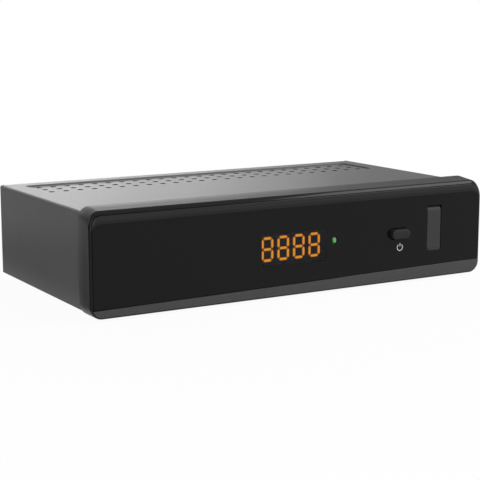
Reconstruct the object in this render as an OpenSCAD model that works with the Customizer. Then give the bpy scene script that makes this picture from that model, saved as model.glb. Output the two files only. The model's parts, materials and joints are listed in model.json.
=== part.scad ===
// Terrestrial television receiver: a low sheet-metal box with a moulded front bezel.
// Frame: +Z up, millimetres. The front faces -Y, and +X is to the right seen from the front.
// The origin lies on the table under the middle of the whole object.

/* [Front bezel] */
// Width of the bezel, the widest piece
bezel_w = 168; // [158:1:200]
// Height of the bezel
bezel_h = 37.8; // [36:0.2:46]
// Depth of the bezel from its front face to its rear edge
bezel_d = 9.8; // [9:0.1:13]
// Radius of the bezel's corners seen from the front
bezel_r = 4.5; // [3:0.1:6]
// Radius of the rounded front edge at the sides and the bottom
rim_r = 0.9; // [0.6:0.05:1.4]
// How far the gloss panel's top edge lies below the bezel's top
lens_drop = 2.2; // [1.8:0.1:3]
// How far the bezel's top falls from its rear edge to its front shoulder
top_fall = 0.85; // [0.4:0.05:1.2]
// Depth of the front shoulder behind the front face
shoulder_d = 2.0; // [1.6:0.1:3]
// Height of the band where the front curves back below the panel's top edge
crown_h = 3.5; // [2:0.1:5]
// Radius of that curved band
crown_r = 8; // [6.5:0.5:14]
// Height of the plain chin below the gloss panel at its left end
chin_left_h = 3.2; // [2.4:0.1:6]
// Height of the chin at its right end
chin_right_h = 5.4; // [2.4:0.1:6]
// Thickness of the bezel's plate behind the gloss panel
plate_t = 2; // [1.6:0.1:2.4]

/* [Gloss panel] */
// Thickness of the gloss panel
lens_t = 2; // [1.8:0.1:2.4]
// Room round the gloss panel in its seat
lens_gap = 0.1; // [0.05:0.05:0.2]
// Thickness of the tape between the panel and the bezel's plate
tape_t = 0.1; // [0.05:0.05:0.2]
// Room round the display, the light pipe and the sockets where they pass the bezel
window_gap = 0.2; // [0.15:0.05:0.3]

/* [Steel case] */
// Step from the bezel's side in to the case's side
side_step = 1.8; // [1.4:0.1:2.6]
// Step from the bezel's top down to the case's top
top_step = 2.0; // [1.6:0.1:2.6]
// Step from the bezel's bottom up to the case's bottom
bottom_step = 1.2; // [1:0.1:1.6]
// Depth of the case that shows behind the bezel
case_d = 79.5; // [76:0.5:110]
// How far the case reaches into the bezel's skirt
case_lap = 5.2; // [4.6:0.1:5.4]
// Thickness of the steel sheet
sheet_t = 0.6; // [0.5:0.1:0.8]
// Outer radius of the cover's long bends
bend_r = 1; // [0.9:0.1:1.6]
// Room between sheets that slide together
sheet_gap = 0.1; // [0.05:0.05:0.2]
// Height of the cover's lip behind the bezel
front_lip_h = 5; // [4.6:0.1:6]
// Height of the cover's lip over the rear wall
rear_lip_h = 7; // [6.4:0.1:8]
// Height of the chassis's flanges along the sides
side_flange_h = 6; // [4:0.5:9]

/* [Vents] */
// Vent holes in one row of the cover
vent_columns = 25; // [15:1:25]
// Rows of vent holes in the cover
vent_rows = 3; // [2:1:3]
// Distance between vent holes along a row
vent_pitch_x = 5.88; // [5:0.02:5.9]
// Distance between the rows
vent_pitch_y = 6.5; // [5:0.1:7]
// Diameter of a vent hole
vent_hole_d = 2.3; // [1.6:0.1:2.8]
// Distance from the recess's rear edge to the case's rear
vent_rear_inset = 6.9; // [5:0.1:10]
// Plain border between the holes' centres and the recess's edge
vent_border = 4.2; // [3.4:0.1:4.4]
// Depth of the pressed recess
recess_h = 0.6; // [0.4:0.1:1]
// Corner radius of the pressed recess
recess_r = 2; // [1.5:0.1:3]
// Length of a cooling slot in the chassis's bottom
slot_l = 14; // [8:0.5:18]
// Width of a cooling slot
slot_w = 2; // [1.5:0.1:2.4]
// Distance between cooling slots
slot_pitch = 5; // [4:0.1:5.5]
// Cooling slots in one row
slot_count = 9; // [5:1:9]

/* [Feet] */
// Height of a rubber foot
foot_h = 2.5; // [2:0.1:4]
// Diameter of a rubber foot
foot_d = 10; // [8:0.5:12]
// Distance from a foot's centre to the case's side
foot_side = 14; // [10:0.5:20]
// Distance from a foot's centre to the visible case's front and rear edges
foot_end = 10; // [8:0.5:12]

/* [Screws] */
// Diameter of a case screw's thread
screw_d = 3; // [2.6:0.1:3]
// Diameter of a case screw's head
screw_head_d = 5.6; // [5:0.1:6]
// Height of a screw's head
screw_head_h = 1.9; // [1.6:0.1:2.2]
// Length of a case screw below its head
screw_l = 5; // [4:0.5:6]
// Distance from the outer rear screws to the case's sides
rear_screw_side = 16; // [10:1:24]
// Radial room round a screw in the hole that it cuts its thread in
thread_gap = 0.05; // [0.03:0.01:0.08]
// Radial room round a screw in the hole that it only passes
pass_gap = 0.2; // [0.1:0.05:0.3]

/* [Main board] */
// Height of the pressed stand-offs
standoff_h = 5; // [4.8:0.1:6]
// Diameter of a stand-off's top
standoff_d = 7; // [6:0.1:8]
// Thickness of both circuit boards
board_t = 1.6; // [1:0.1:1.6]
// Gap between the main board and the case's sides
board_side_gap = 6; // [5:0.5:8]
// Distance from the bezel's front face to the main board's front edge
board_front = 17.5; // [17:0.1:20]
// Gap between the main board and the rear wall
board_rear_gap = 0.8; // [0.5:0.1:1.5]
// Distance from the main board's screws to its side and rear edges
board_screw_inset = 4.5; // [4:0.1:6]
// Distance from the main board's front screws to its front edge
board_screw_front = 14; // [13:0.5:18]

/* [Display] */
// Display centre, sideways from the middle of the front
display_x = -3.2; // [-20:0.1:2]
// Display centre above the bezel's bottom
display_z = 17.6; // [17:0.1:19.5]
// Width of the display module
display_w = 30; // [29:0.5:33]
// Height of the display module
display_h = 14; // [13:0.5:15]
// Depth of the display module
display_d = 7.2; // [6:0.1:7.4]
// Room between the display and the panel's back
display_gap = 0.35; // [0.3:0.05:0.5]
// Height of a digit
digit_h = 9.2; // [8:0.1:10]
// Width of a digit
digit_w = 5.15; // [4.5:0.05:5.4]
// Distance between digits
digit_pitch = 6.73; // [6.5:0.01:7]
// Width of a segment's stroke
segment_w = 1.1; // [0.8:0.05:1.2]
// Gap between segments
segment_gap = 0.14; // [0.1:0.01:0.2]
// Thickness of the lit segments
segment_t = 0.15; // [0.1:0.05:0.2]

/* [Status light] */
// Status light's centre, sideways from the middle of the front
led_x = 14.5; // [14:0.1:22]
// Status light's centre above the bezel's bottom
led_z = 18.8; // [16:0.1:22]
// Width of the light pipe's end
pipe_w = 2; // [1.6:0.1:2.4]
// Height of the light pipe's end
pipe_h = 2.5; // [2:0.1:3]

/* [Power button] */
// Distance from the button's centre to the bezel's right side
button_side = 40.1; // [37:0.1:48]
// Button centre above the bezel's bottom
button_z = 18.8; // [16:0.1:22]
// Length of the button's cap
button_w = 8.5; // [7:0.1:10]
// Height of the button's cap
button_h = 3.8; // [3.4:0.1:5]
// How far the cap stands out of the panel
button_proud = 2.2; // [1.5:0.1:3]
// Room round the cap in its hole
button_gap = 0.25; // [0.2:0.05:0.4]
// Width of the flange that keeps the cap in
button_flange = 1.2; // [0.8:0.1:1.6]
// Thickness of that flange
button_flange_t = 0.8; // [0.6:0.1:1]
// Travel of the button
button_travel = 0.5; // [0.3:0.05:0.6]

/* [USB cover] */
// Distance from the USB cover's centre to the bezel's right side
usb_side = 23.1; // [21:0.1:24]
// USB cover's lower edge above the bezel's bottom
usb_bottom = 10.7; // [9.6:0.1:11]
// Width of the USB cover
cover_w = 6.5; // [6.2:0.1:7]
// Height of the USB cover
cover_h = 17.6; // [17.3:0.1:19]
// Thickness of the USB cover
cover_t = 1.6; // [1.3:0.1:1.7]
// Room round the USB cover
cover_gap = 0.2; // [0.15:0.05:0.3]
// Radius of the cover's lower corners
cover_r = 0.8; // [0.5:0.1:1.2]
// Height of the finger lip along the cover's lower edge
lip_h = 0.9; // [0.6:0.1:1.2]
// How far the finger lip stands out
lip_proud = 0.4; // [0.2:0.1:0.6]
// Radius of the cover's hinge pins
pin_r = 0.7; // [0.5:0.05:0.8]
// Length of a hinge pin outside the cover
pin_l = 1.1; // [0.8:0.1:1.4]
// Radial room round a hinge pin
pin_gap = 0.05; // [0.03:0.01:0.08]
// Radius of the cover's hub round its hinge axis
hub_r = 1.1; // [1:0.05:1.2]

/* [USB socket] */
// Height of the USB socket, which stands upright
usb_socket_h = 13.1; // [12.9:0.1:13.3]
// Width of the USB socket
usb_socket_w = 5.7; // [5.5:0.1:5.8]
// Depth of the USB socket
usb_socket_d = 10; // [10:0.1:11]
// Thickness of the connectors' metal shells
shell_t = 0.35; // [0.3:0.05:0.4]
// Height of the USB socket's lower edge above the cover's lower edge
usb_socket_rise = 1; // [0.8:0.1:1.2]

/* [Front board] */
// Distance from the display's centre to the front board's left edge
front_board_left = 24; // [22:0.5:28]
// Distance from the USB cover's centre to the front board's right edge
front_board_right = 12; // [11:0.5:14]
// Lower edge of the front board above the bezel's bottom
front_board_bottom = 7.6; // [7.4:0.1:8]
// Height of the front board
front_board_h = 23; // [22:0.5:24]
// Distance from the front board's screws to its edges
front_screw_inset = 3.5; // [3.2:0.1:4]
// Diameter of the bosses that carry the front board
boss_d = 5.4; // [5:0.1:6]
// Diameter of a small screw's thread
small_screw_d = 2.4; // [2:0.1:2.6]
// Diameter of a small screw's head
small_head_d = 4.4; // [4:0.1:5]
// Length of a small screw below its head
small_screw_l = 7; // [5:0.5:8]
// Body size of the tact switch
switch_w = 6; // [5.5:0.1:6.5]
// Depth of the tact switch's body
switch_d = 3.5; // [3:0.1:4]
// Radius of the tact switch's plunger
plunger_r = 1.7; // [1.4:0.05:1.8]
// Radial room round the plunger
plunger_gap = 0.05; // [0.03:0.01:0.08]
// Gap between the button's flange and the plunger at rest
plunger_rest_gap = 0.05; // [0.02:0.01:0.1]
// Infrared receiver's centre, sideways from the middle of the front
ir_x = 28; // [26:0.5:30]
// Infrared receiver's centre above the bezel's bottom
ir_z = 18.8; // [16:0.1:22]
// Width of the infrared receiver
ir_w = 6; // [5:0.1:7]

/* [Board link] */
// Pins between the two boards
link_pins = 10; // [6:1:12]
// Distance between those pins
link_pitch = 2; // [2:0.01:2.54]
// Thickness of a square pin
link_pin_t = 0.64; // [0.5:0.02:0.64]
// Height of the pins above the main board
link_rise = 1.3; // [1.2:0.1:1.6]
// Link's centre, sideways from the middle of the front
link_x = 20; // [10:1:30]

/* [Antenna sockets] */
// Distance from the antenna input's axis to the main board's edge
antenna_edge = 9; // [8:0.5:12]
// Distance between the antenna input and output
antenna_pitch = 18; // [16:0.5:20]
// Height of the antenna sockets' axes above the main board
antenna_rise = 8; // [7:0.5:9]
// How far the antenna sockets stand out of the rear wall
antenna_l = 9.5; // [8:0.5:11]
// Outer diameter of the input's sleeve
input_d = 9.5; // [9.5:0.1:9.6]
// Inner diameter of the output's sleeve
output_bore_d = 9.6; // [9.6:0.1:9.7]
// Wall of the sleeves
sleeve_t = 0.8; // [0.6:0.1:1]
// Diameter of the input's centre contact
contact_d = 4; // [3.6:0.1:4.4]
// Diameter of the centre pin
centre_pin_d = 2.3; // [2.3:0.05:2.4]
// Radial room between the centre pin and its contact
contact_gap = 0.1; // [0.05:0.05:0.2]
// Width of the tuner's shield
tuner_w = 36; // [34:0.5:40]
// Depth of the tuner's shield
tuner_d = 34; // [28:1:40]
// Height of the tuner's shield
tuner_h = 15; // [14:0.5:17]

/* [HDMI socket] */
// Distance between the antenna output and the HDMI socket
hdmi_pitch = 18.5; // [18:0.5:22]
// Width of the HDMI socket
hdmi_w = 15; // [14.6:0.1:15.4]
// Height of the HDMI socket
hdmi_h = 5.6; // [5.4:0.1:6]
// Depth of the HDMI socket
hdmi_d = 11.5; // [10:0.5:13]
// Size of the cut corners of the HDMI socket
hdmi_cut = 1.6; // [1.2:0.1:2]
// How far the flat connectors stand out of the rear wall
flush_proud = 0.6; // [0.3:0.1:1]

/* [SCART socket] */
// Distance between the coaxial output and the SCART socket's centre
scart_pitch = 34; // [33:0.5:38]
// Width of the SCART socket's inner block
scart_w = 43; // [42:0.5:43.5]
// Height of the SCART socket's inner block
scart_h = 10.4; // [10:0.1:11]
// Size of the cut end corner
scart_cut = 5; // [4:0.5:6]
// Width of the slot round the block
scart_slot = 1.3; // [1:0.1:1.6]
// Depth of that slot
scart_slot_d = 9; // [7:0.5:10]
// Wall of the socket's housing
scart_wall = 1.2; // [1:0.1:1.6]
// Depth of the housing
scart_d = 17; // [15:0.5:20]
// Distance between contacts in a row
scart_contact_pitch = 3.81; // [3.7:0.01:3.9]
// Height of a contact chamber
scart_chamber_h = 3.6; // [3.2:0.1:4]
// Width of a contact chamber
scart_chamber_w = 1.5; // [1.3:0.1:1.7]
// Thickness of a contact
scart_contact_t = 0.5; // [0.4:0.1:0.6]
// Depth of a contact behind the block's face
scart_contact_in = 1.2; // [0.8:0.1:2]

/* [Coaxial output] */
// Distance between the power inlet and the coaxial output
coax_pitch = 15; // [13:0.5:17]
// Outer diameter of the coaxial output's ring
coax_d = 8.3; // [8.2:0.1:8.4]
// Length of the ring outside the rear wall
coax_l = 7.5; // [6:0.5:9]
// Width and height of the coaxial output's block
coax_block = 10; // [9.4:0.1:11]
// Room for a plug's shell between the ring and the rear wall
coax_room = 0.8; // [0.7:0.1:1]
// Diameter of the coaxial output's centre hole
coax_hole_d = 3.3; // [3.2:0.1:3.5]

/* [Power inlet] */
// Distance from the power inlet's axis to the main board's edge
inlet_edge = 8; // [6:0.5:10]
// Width of the power inlet's body
inlet_w = 9; // [8.6:0.1:10]
// Height of the power inlet's body
inlet_h = 11; // [10:0.1:12]
// Depth of the power inlet's body
inlet_d = 14; // [12:0.5:15]
// Diameter of the power inlet's mouth
inlet_bore_d = 6.2; // [5.8:0.1:6.4]
// Diameter of the power inlet's pin
inlet_pin_d = 2.1; // [2:0.1:2.5]

/* [Components] */
// Distance from the step-down regulators to the main board's left edge
supply_side = 24; // [22:0.5:25]
// Distance from the first regulator to the main board's front edge
supply_front = 9; // [7:0.5:10]
// Distance between two step-down supplies
supply_pitch = 11; // [9:0.5:11]
// Distance from the main chip's centre to the main board's front edge
chip_front = 26; // [24:0.5:30]
// Width of the main chip
chip_w = 19; // [14:0.5:22]
// Height of the main chip
chip_h = 1.6; // [1.2:0.1:2]
// Width of the heat sink
sink_w = 24; // [18:0.5:28]
// Height of the heat sink
sink_h = 9; // [6:0.5:12]
// Thickness of the heat sink's base
sink_base = 2; // [1.5:0.1:3]
// Fins of the heat sink
sink_fins = 7; // [4:1:8]
// Thickness of a fin
fin_t = 1.1; // [0.8:0.1:1.4]
// Diameter of the large capacitors
cap_d = 8; // [6.3:0.1:10]
// Height of the large capacitors
cap_h = 12; // [9:0.5:16]

/* [Hidden] */
$fn = 48;

// Overlap that keeps a cut clean
cut = 1;
eps = 0.01;

// Places along the front that keep their distance to its right side
button_x = bezel_w / 2 - button_side;
usb_x = bezel_w / 2 - usb_side;

// Widths and heights of the case
case_w = bezel_w - 2 * side_step;
case_h = bezel_h - top_step - bottom_step;
inner_w = case_w - 2 * sheet_t;

// Depths, with the object's middle at y = 0
body_d = bezel_d + case_d;
wall_back = sheet_t + sheet_gap;
front_y = -(body_d - wall_back + antenna_l - button_proud) / 2;
bezel_back = front_y + bezel_d;
case_front = bezel_back - case_lap;
rear_y = front_y + body_d;
wall_y = rear_y - wall_back;
wall_in = wall_y - sheet_t;

// Heights
base_z = foot_h;
floor_z = base_z + sheet_t;
bezel_z = base_z - bottom_step;
case_top = base_z + case_h;
board_z = floor_z + standoff_h;
board_top = board_z + board_t;

// Depths behind the bezel's front face
plate_front = front_y + lens_t + tape_t;
plate_back = plate_front + plate_t;
display_front = front_y + lens_t + display_gap;
usb_front = plate_front + window_gap;
front_board_y = usb_front + usb_socket_d;
front_board_back = front_board_y + board_t;

// Main board
main_w = inner_w - 2 * board_side_gap;
main_y = front_y + board_front;
main_d = wall_in - board_rear_gap - main_y;

// Rear connectors along the board
inlet_x = -main_w / 2 + inlet_edge;
coax_x = inlet_x + coax_pitch;
scart_x = coax_x + scart_pitch;
antenna_in_x = main_w / 2 - antenna_edge;
antenna_out_x = antenna_in_x - antenna_pitch;
hdmi_x = antenna_out_x - hdmi_pitch;
antenna_z = board_top + antenna_rise;

// Front board
front_board_x0 = display_x - front_board_left;
front_board_x1 = usb_x + front_board_right;
front_board_z0 = bezel_z + front_board_bottom;
front_board_z1 = front_board_z0 + front_board_h;
front_screws = [for (x = [front_board_x0 + front_screw_inset, front_board_x1 - front_screw_inset])
  for (z = [front_board_z0 + front_screw_inset, front_board_z1 - front_screw_inset]) [x, z]];

// USB cover and its hinge
cover_z0 = bezel_z + usb_bottom;
cover_z1 = cover_z0 + cover_h;
hinge_r = lens_t + tape_t;
hinge_y = front_y + hinge_r;
hinge_z = cover_z1 - hinge_r;
usb_z0 = cover_z0 + usb_socket_rise;

// Power button and switch
button_flange_gap = 0.1;
button_back = plate_back + button_flange_gap + button_flange_t;
plunger_front = button_back + plunger_rest_gap;

// Vents in the cover
recess_w = (vent_columns - 1) * vent_pitch_x + 2 * vent_border;
recess_d = (vent_rows - 1) * vent_pitch_y + 2 * vent_border;
recess_y = rear_y - vent_rear_inset - recess_d;

// Block centred in x, from y and z upwards
module block(x, y, z, w, d, h) {
  translate([x - w / 2, y, z]) cube([w, d, h]);
}

// Round bar along +Y
module bar_y(x, y, z, r, l) {
  translate([x, y, z]) rotate([-90, 0, 0]) cylinder(r = r, h = l);
}

// Round bar along +Z
module bar_z(x, y, z, r, h) {
  translate([x, y, z]) cylinder(r = r, h = h);
}

// Outline drawn in the x and z plane, carried along +Y
module along_y(y, d) {
  translate([0, y + d, 0]) rotate([90, 0, 0]) linear_extrude(d) children();
}

// Outline drawn in the y and z plane, carried along +X
module along_x(x, w) {
  translate([x, 0, 0]) rotate([90, 0, 90]) linear_extrude(w) children();
}

// Rectangle with round corners, from its lower left corner
module round_rect(w, h, r) {
  translate([r, 0]) square([w - 2 * r, h]);
  translate([0, r]) square([w, h - 2 * r]);
  for (x = [r, w - r]) for (y = [r, h - r]) translate([x, y]) circle(r);
}

// Outline with a flat foot at z0 and round upper corners, centred
module arch_rect(w, z0, z1, r) {
  translate([-w / 2, z0]) square([w, z1 - r - z0]);
  translate([-w / 2 + r, z0]) square([w - 2 * r, z1 - z0]);
  for (s = [-1, 1]) translate([s * (w / 2 - r), z1 - r]) circle(r);
}

// Slot with round ends, centred, long side across
module stadium(w, h) {
  square([w - h, h], center = true);
  for (s = [-1, 1]) translate([s * (w - h) / 2, 0]) circle(h / 2);
}

// How far the bezel's outline steps in at depth y behind its front face
crown_a = asin(crown_h / crown_r);
crown_y = crown_r * (1 - cos(crown_a));
shoulder_a = 75;
function side_in(y) = y < rim_r ? rim_r - sqrt(rim_r * rim_r - pow(rim_r - y, 2)) : 0;
function shoulder(y) = sin(shoulder_a * (y - crown_y) / (shoulder_d - crown_y)) / sin(shoulder_a);
function top_in(y) =
  y <= crown_y ? lens_drop + crown_h - crown_r * sin(acos(1 - y / crown_r))
  : y <= shoulder_d ? lens_drop - (lens_drop - top_fall) * shoulder(y)
  : top_fall * (bezel_d - y) / (bezel_d - shoulder_d);

// Depths at which the bezel's outline is drawn
crown_steps = 5;
shoulder_steps = 3;
outline_depths = concat(
  [for (i = [0:crown_steps]) crown_r * (1 - cos(crown_a * i / crown_steps))],
  [for (i = [1:shoulder_steps]) crown_y + (shoulder_d - crown_y) * i / shoulder_steps],
  [bezel_d]);

// Outer form of the bezel, one convex body through all outlines
module bezel_form() {
  skin = 0.02;
  hull() for (y = outline_depths) {
    r = bezel_r - side_in(y);
    z0 = bezel_z + side_in(y);
    z1 = bezel_z + bezel_h - top_in(y);
    start = front_y + min(y, bezel_d - skin);
    for (x = [-1, 1]) for (z = [z0 + r, z1 - r])
      bar_y(x * (bezel_w / 2 - bezel_r), start, z, r, skin);
  }
}

// Outline of the gloss panel, drawn in by e on every side
module lens_outline(e) {
  difference() {
    arch_rect(bezel_w - 2 * rim_r - 2 * e, bezel_z + e, bezel_z + bezel_h - lens_drop - e,
      bezel_r - rim_r - e);
    polygon([[-bezel_w / 2, bezel_z - cut], [bezel_w / 2, bezel_z - cut],
      [bezel_w / 2, bezel_z + chin_right_h + e], [-bezel_w / 2, bezel_z + chin_left_h + e]]);
  }
}

// Hinge axis bore of the USB cover, cut in the panel and in the bezel alike
module hinge_bore() {
  l = cover_w / 2 + pin_l + cover_gap;
  translate([usb_x - l, hinge_y, hinge_z]) rotate([0, 90, 0]) cylinder(r = pin_r + pin_gap, h = 2 * l);
}

// Room for the USB cover in the panel
module cover_hole(y, d) {
  along_y(y, d) translate([usb_x - cover_w / 2 - cover_gap, cover_z0 - cover_gap])
    square([cover_w + 2 * cover_gap, cover_h + 2 * cover_gap]);
}

// Hole for the light pipe, and hole that guides the power button
module pipe_hole(y, d) {
  along_y(y, d) translate([led_x, bezel_z + led_z]) rotate(90)
    stadium(pipe_h + 2 * window_gap, pipe_w + 2 * window_gap);
}
module button_hole(y, d) {
  along_y(y, d) translate([button_x, bezel_z + button_z])
    stadium(button_w + 2 * button_gap, button_h + 2 * button_gap);
}

// Snap hook that reaches back through a slot in the steel, with its barb upwards
hook_w = 8;
hook_t = 1.2;
hook_play = 0.5;
hook_reach = sheet_t + hook_play;
barb_h = 0.8;
barb_tip = 2;
barb_flat = 0.4;
module snap_hook(x, z, up) {
  y0 = plate_back - eps;
  y1 = case_front + hook_reach;
  along_x(x - hook_w / 2, hook_w) polygon([
    [y0, z], [y1 + barb_tip, z], [y1 + barb_tip, z + up * hook_t / 2],
    [y1 + barb_flat, z + up * (hook_t + barb_h)], [y1, z + up * (hook_t + barb_h)],
    [y1, z + up * hook_t], [y0, z + up * hook_t]]);
}
// Slot for such a hook in a steel flange at y
hook_room = 0.3;
module hook_slot(x, z, up) {
  low = up > 0 ? z - hook_room : z - hook_t - sheet_gap;
  block(x, case_front - cut, low, hook_w + 2 * hook_room, sheet_t + 2 * cut,
    hook_t + hook_room + sheet_gap);
}
hook_side = 24;
hook_xs = [-bezel_w / 2 + hook_side, bezel_w / 2 - hook_side];
hook_inset = 1.2;
hook_low_z = floor_z + hook_inset;
hook_high_z = case_top - sheet_t - hook_inset;

module front_bezel() {
  skirt_gap = 0.15;
  through = plate_back - front_y + cut;
  pilot_floor = 0.8;
  color([0.20, 0.20, 0.21]) difference() {
    union() {
      difference() {
        bezel_form();
        along_y(front_y - cut, cut + lens_t + tape_t) lens_outline(0);
        along_y(plate_back, bezel_d)
          arch_rect(case_w + 2 * skirt_gap, base_z - skirt_gap, case_top + skirt_gap, bend_r);
      }
      for (p = front_screws) bar_y(p[0], plate_back - eps, p[1], boss_d / 2,
        front_board_y - plate_back + eps);
      for (x = hook_xs) {
        snap_hook(x, hook_low_z, 1);
        snap_hook(x, hook_high_z, -1);
      }
    }
    // Window for the display
    block(display_x, front_y, bezel_z + display_z - display_h / 2 - window_gap,
      display_w + 2 * window_gap, through, display_h + 2 * window_gap);
    // Holes for the light pipe, the infrared receiver and the power button
    pipe_hole(front_y, through);
    bar_y(ir_x, front_y, bezel_z + ir_z, ir_w / 2 + window_gap, through);
    button_hole(front_y, through);
    // Opening for the USB socket, and above it for the cover's round top
    block(usb_x, front_y, usb_z0 - window_gap, usb_socket_w + 2 * window_gap, through,
      usb_socket_h + 2 * window_gap);
    block(usb_x, front_y, hinge_z - hub_r - window_gap, cover_w + 2 * cover_gap, through,
      cover_z1 + cover_gap - hinge_z + hub_r + window_gap);
    hinge_bore();
    // Pilot holes for the front board's screws
    for (p = front_screws) bar_y(p[0], plate_back + pilot_floor, p[1],
      small_screw_d / 2 + thread_gap, front_board_y - plate_back);
  }
}

module front_lens() {
  color([0.05, 0.05, 0.055]) difference() {
    intersection() {
      bezel_form();
      along_y(front_y - cut, cut + lens_t) lens_outline(lens_gap);
    }
    pipe_hole(front_y - cut, lens_t + 2 * cut);
    button_hole(front_y - cut, lens_t + 2 * cut);
    cover_hole(front_y - cut, lens_t + 2 * cut);
    hinge_bore();
  }
}

module power_button() {
  edge = 0.4;
  stem_y = front_y - button_proud;
  color([0.17, 0.17, 0.18]) translate([button_x, 0, bezel_z + button_z]) {
    hull() {
      along_y(stem_y, edge) stadium(button_w - 2 * edge, button_h - 2 * edge, $fn = 32);
      along_y(stem_y + edge, edge) stadium(button_w, button_h, $fn = 32);
    }
    along_y(stem_y + 2 * edge - eps, button_back - button_flange_t - stem_y - 2 * edge + 2 * eps)
      stadium(button_w, button_h);
    along_y(button_back - button_flange_t, button_flange_t)
      stadium(button_w + 2 * button_flange, button_h + 2 * button_flange);
  }
}

module usb_cover() {
  rib = 1.2;
  pocket = 0.6;
  lip_rise = 0.3;
  color([0.24, 0.24, 0.25]) difference() {
    union() {
      // Plate with round lower corners, up to the hinge axis
      along_y(front_y, cover_t) translate([usb_x - cover_w / 2, cover_z0]) {
        translate([0, cover_r]) square([cover_w, hinge_z - cover_z0 - cover_r]);
        translate([cover_r, 0]) square([cover_w - 2 * cover_r, cover_r + eps]);
        for (x = [cover_r, cover_w - cover_r]) translate([x, cover_r]) circle(cover_r);
      }
      // Round top that turns under the panel's edge
      intersection() {
        translate([usb_x - cover_w / 2, hinge_y, hinge_z]) rotate([0, 90, 0])
          cylinder(r = hinge_r, h = cover_w);
        block(usb_x, front_y - cut, hinge_z - eps, cover_w + cut, hinge_r + cut, hinge_r + cut);
      }
      // Hub and pins
      translate([usb_x - cover_w / 2, hinge_y, hinge_z]) rotate([0, 90, 0])
        cylinder(r = hub_r, h = cover_w);
      translate([usb_x - cover_w / 2 - pin_l, hinge_y, hinge_z]) rotate([0, 90, 0])
        cylinder(r = pin_r, h = cover_w + 2 * pin_l);
      // Finger lip
      block(usb_x, front_y - lip_proud, cover_z0 + lip_rise, cover_w - 2 * cover_r,
        lip_proud + eps, lip_h);
    }
    // Hollow back inside a rib all round
    block(usb_x, front_y + cover_t - pocket, cover_z0 + rib, cover_w - 2 * rib, pocket + cut,
      hinge_z - hub_r - cover_z0 - 2 * rib);
  }
}

// Clear light pipe from the panel's face to the status light, with a collar behind the plate
led_l = 4.5;
led_r = 1.5;
led_gap = 0.3;
module light_pipe() {
  collar_t = 1;
  collar = 1;
  color([0.75, 0.95, 0.75]) translate([led_x, 0, bezel_z + led_z]) {
    along_y(front_y, front_board_y - led_l - led_gap - front_y) rotate(90)
      stadium(pipe_h, pipe_w);
    along_y(plate_back, collar_t) rotate(90) stadium(pipe_h + 2 * collar, pipe_w + 2 * collar);
  }
}

// Sheet outline of the cover, a flat-topped arch with bent upper edges
module cover_profile() {
  difference() {
    arch_rect(case_w, base_z, case_top, bend_r);
    arch_rect(inner_w, base_z - cut, case_top - sheet_t, bend_r - sheet_t);
  }
}

// Rear screws, from the left to the right
rear_screws_x = [for (s = [-1, 0, 1]) s * (case_w / 2 - rear_screw_side)];
rear_screw_z = case_top - rear_lip_h / 2;

// Pressed recess for the vents, from z0 upwards, drawn out by e on every side
module recess(z0, h, e) {
  translate([-recess_w / 2 - e, recess_y - e, z0]) linear_extrude(h)
    round_rect(recess_w + 2 * e, recess_d + 2 * e, recess_r + e);
}

module top_cover() {
  color([0.33, 0.33, 0.34]) difference() {
    union() {
      difference() {
        along_y(case_front, rear_y - case_front) cover_profile();
        recess(case_top - sheet_t - cut, sheet_t + 2 * cut, eps);
      }
      difference() {
        recess(case_top - sheet_t - recess_h, sheet_t + recess_h, sheet_t);
        recess(case_top - recess_h, recess_h + cut, 0);
      }
      // Lip behind the bezel and lip over the rear wall
      block(0, case_front, case_top - front_lip_h, inner_w - 2 * bend_r, sheet_t,
        front_lip_h - sheet_t + eps);
      block(0, rear_y - sheet_t, case_top - rear_lip_h, inner_w - 2 * bend_r, sheet_t,
        rear_lip_h - sheet_t + eps);
    }
    for (x = hook_xs) hook_slot(x, hook_high_z, -1);
    for (x = rear_screws_x) bar_y(x, rear_y - sheet_t - cut, rear_screw_z,
      screw_d / 2 + pass_gap, sheet_t + 2 * cut);
    // Vent holes in straight rows
    for (i = [0:vent_columns - 1]) for (j = [0:vent_rows - 1])
      bar_z((i - (vent_columns - 1) / 2) * vent_pitch_x,
        recess_y + vent_border + j * vent_pitch_y,
        case_top - sheet_t - recess_h - cut, vent_hole_d / 2, sheet_t + recess_h + 2 * cut);
  }
}

// Rear connector outlines, seen along Y
function hdmi_outline(e) = let (w = hdmi_w / 2 + e, c = hdmi_cut)
  [[-w + c, board_top - e], [w - c, board_top - e], [w, board_top + c - e],
   [w, board_top + hdmi_h + e], [-w, board_top + hdmi_h + e], [-w, board_top + c - e]];
scart_z = board_top + scart_h / 2 + scart_slot + scart_wall;
corner_growth = 2 - sqrt(2);
function scart_outline(e) =
  let (w = scart_w / 2 + e, h = scart_h / 2 + e, c = scart_cut + corner_growth * e)
  [[-w, -h], [w, -h], [w, h - c], [w - c, h], [-w, h]];
coax_rise = 7.5;
coax_z = board_top + coax_rise;
inlet_rise = 6.5;
inlet_z = board_top + inlet_rise;
collar_rim = 1.5;
collar_r = input_d / 2 + collar_rim;
connector_gap = 0.3;

// Main board's screws
tuner_gap = 0.5;
tuner_y = wall_in - tuner_gap - tuner_d;
tuner_x = antenna_in_x - antenna_pitch / 2;
rear_board_screw_x = (scart_x + scart_w / 2 + scart_slot + scart_wall + hdmi_x - hdmi_w / 2) / 2;
board_screws_xy = concat(
  [for (s = [-1, 1]) for (y = [main_y + board_screw_front, tuner_y - board_screw_inset])
    [s * (main_w / 2 - board_screw_inset), y]],
  [[rear_board_screw_x, main_y + main_d - board_screw_inset]]);

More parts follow.
